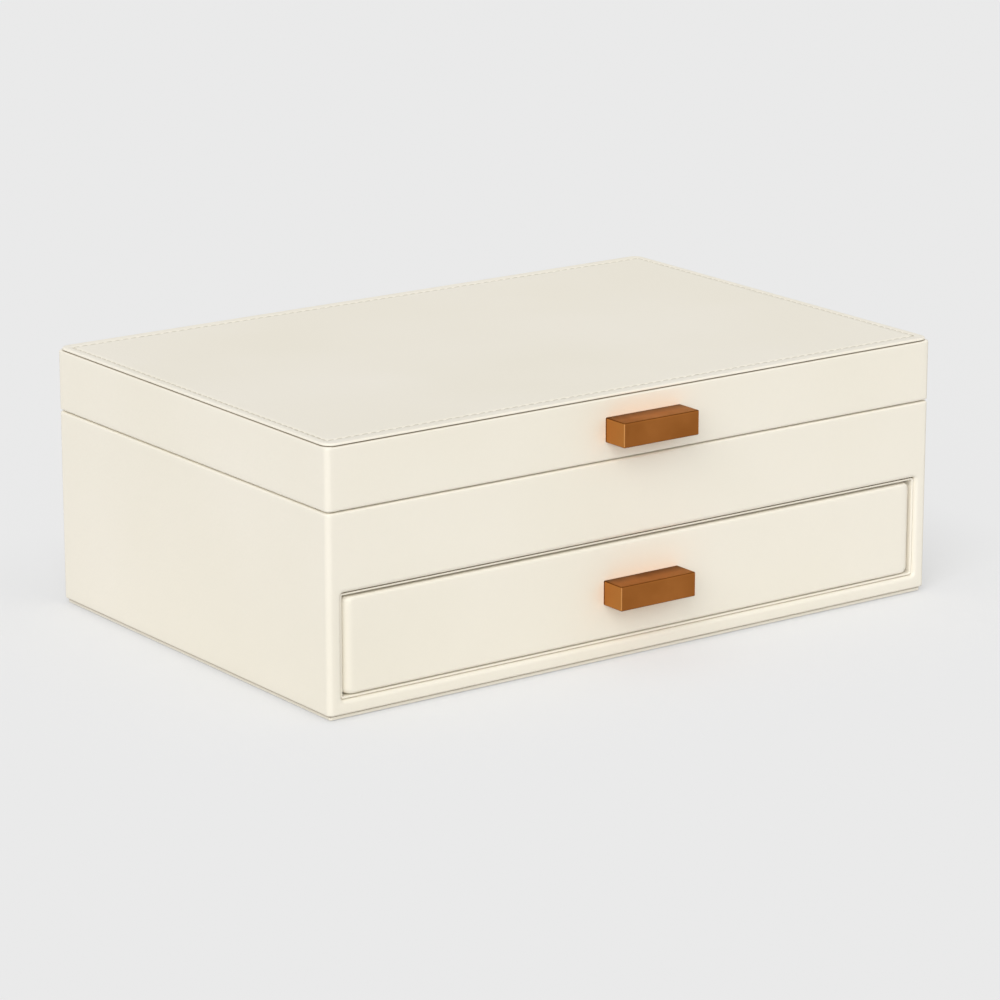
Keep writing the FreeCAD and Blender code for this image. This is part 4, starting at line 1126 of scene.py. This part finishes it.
def make_screws(name, across, up, head_at, body, **sizes):
    """One piece of several screws at one height, whose heads look to the back."""
    points, faces = lofted(screw_shape(**sizes))
    places = np.array([(x, head_at, up) for x in across])
    everything = np.stack([points[:, 0], points[:, 2], -points[:, 1]], 1)[None] + places[:, None]
    starts = [index * len(points) for index in range(len(across))]
    all_faces = [[corner + start for corner in face] for start in starts for face in faces]
    add_piece(f"brass_{name}", (everything, all_faces), body, screw_metal, [name])


screw_metal = make_metal("screw_metal", linear(168, 140, 92), linear(186, 160, 110), 0.32,
                         0.000001)
hinge_screw = dict(head=1.5, shank=0.9, dome=0.04, depth=0.35, cone=0.6, length=3.8)
pull_screw = dict(head=2.6, shank=1.5, dome=0.35, depth=0.7, cone=1.1)
make_screws("case_hinge_screws", HINGE_SCREWS_X, AXIS_UP - 7.5, LEAF_BACK, "case", **hinge_screw)
make_screws("lid_hinge_screws", HINGE_SCREWS_X, AXIS_UP + 7.5, LEAF_BACK, "lid", **hinge_screw)
make_screws("lid_pull_screws", PULL_SCREWS_X, LID_PULL_UP, -lid_inner[1] + 1.15, "lid",
            **pull_screw, length=10.5)
make_screws("drawer_pull_screws", PULL_SCREWS_X, DRAWER_PULL_UP, -FACE_BACK + 1.15, "drawer",
            **pull_screw, length=12.8)

# %% [markdown]
# ## Finishes for the pieces that keep their shape
#
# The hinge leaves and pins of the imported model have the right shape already, and get satin brass.
# The boards under the skin get pressed fibre: warm brown with fine specks.

# %% Hinges and boards
brass = make_metal("satin_brass", linear(170, 130, 70), linear(188, 148, 84), 0.34, 0.000003)
finish_nodes([f"hinge_{side}_{part}" for side in ("left", "right")
              for part in ("case_leaf", "lid_leaf", "pin")], brass)

pressed, given, out = new_group("pressed_fibres", [("Place", None)], ["Height", "Tone"])
specks = noise(pressed, given["Place"], 900.0, Detail=4.0, Roughness=0.7)
fill(pressed, out, Height=specks, Tone=stretch(pressed, specks))
fibreboard, tree, shader, place = start_material("pressed_board", Roughness=0.8,
                                                 Specular_IOR_Level=0.2)
effect = use_group(tree, pressed, Place=place)
fill(tree, shader, Normal=bumps(tree, effect["Height"], 0.00005), Base_Color=mix_colours(
    tree, effect["Tone"], linear(134, 102, 70), linear(172, 138, 100)))
finish_nodes(["bottom_board", "side_board_left", "side_board_right", "back_board", "front_rail",
              "shelf_board", "lid_top_board", "lid_front_board", "lid_back_board", "lid_side_left",
              "lid_side_right"], fibreboard)
print("nodes kept:", [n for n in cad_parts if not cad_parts[n].hide_render])

# %% [markdown]
# ## Last: the view layer is brought up to date

# %% Finish
bpy.context.view_layer.update()
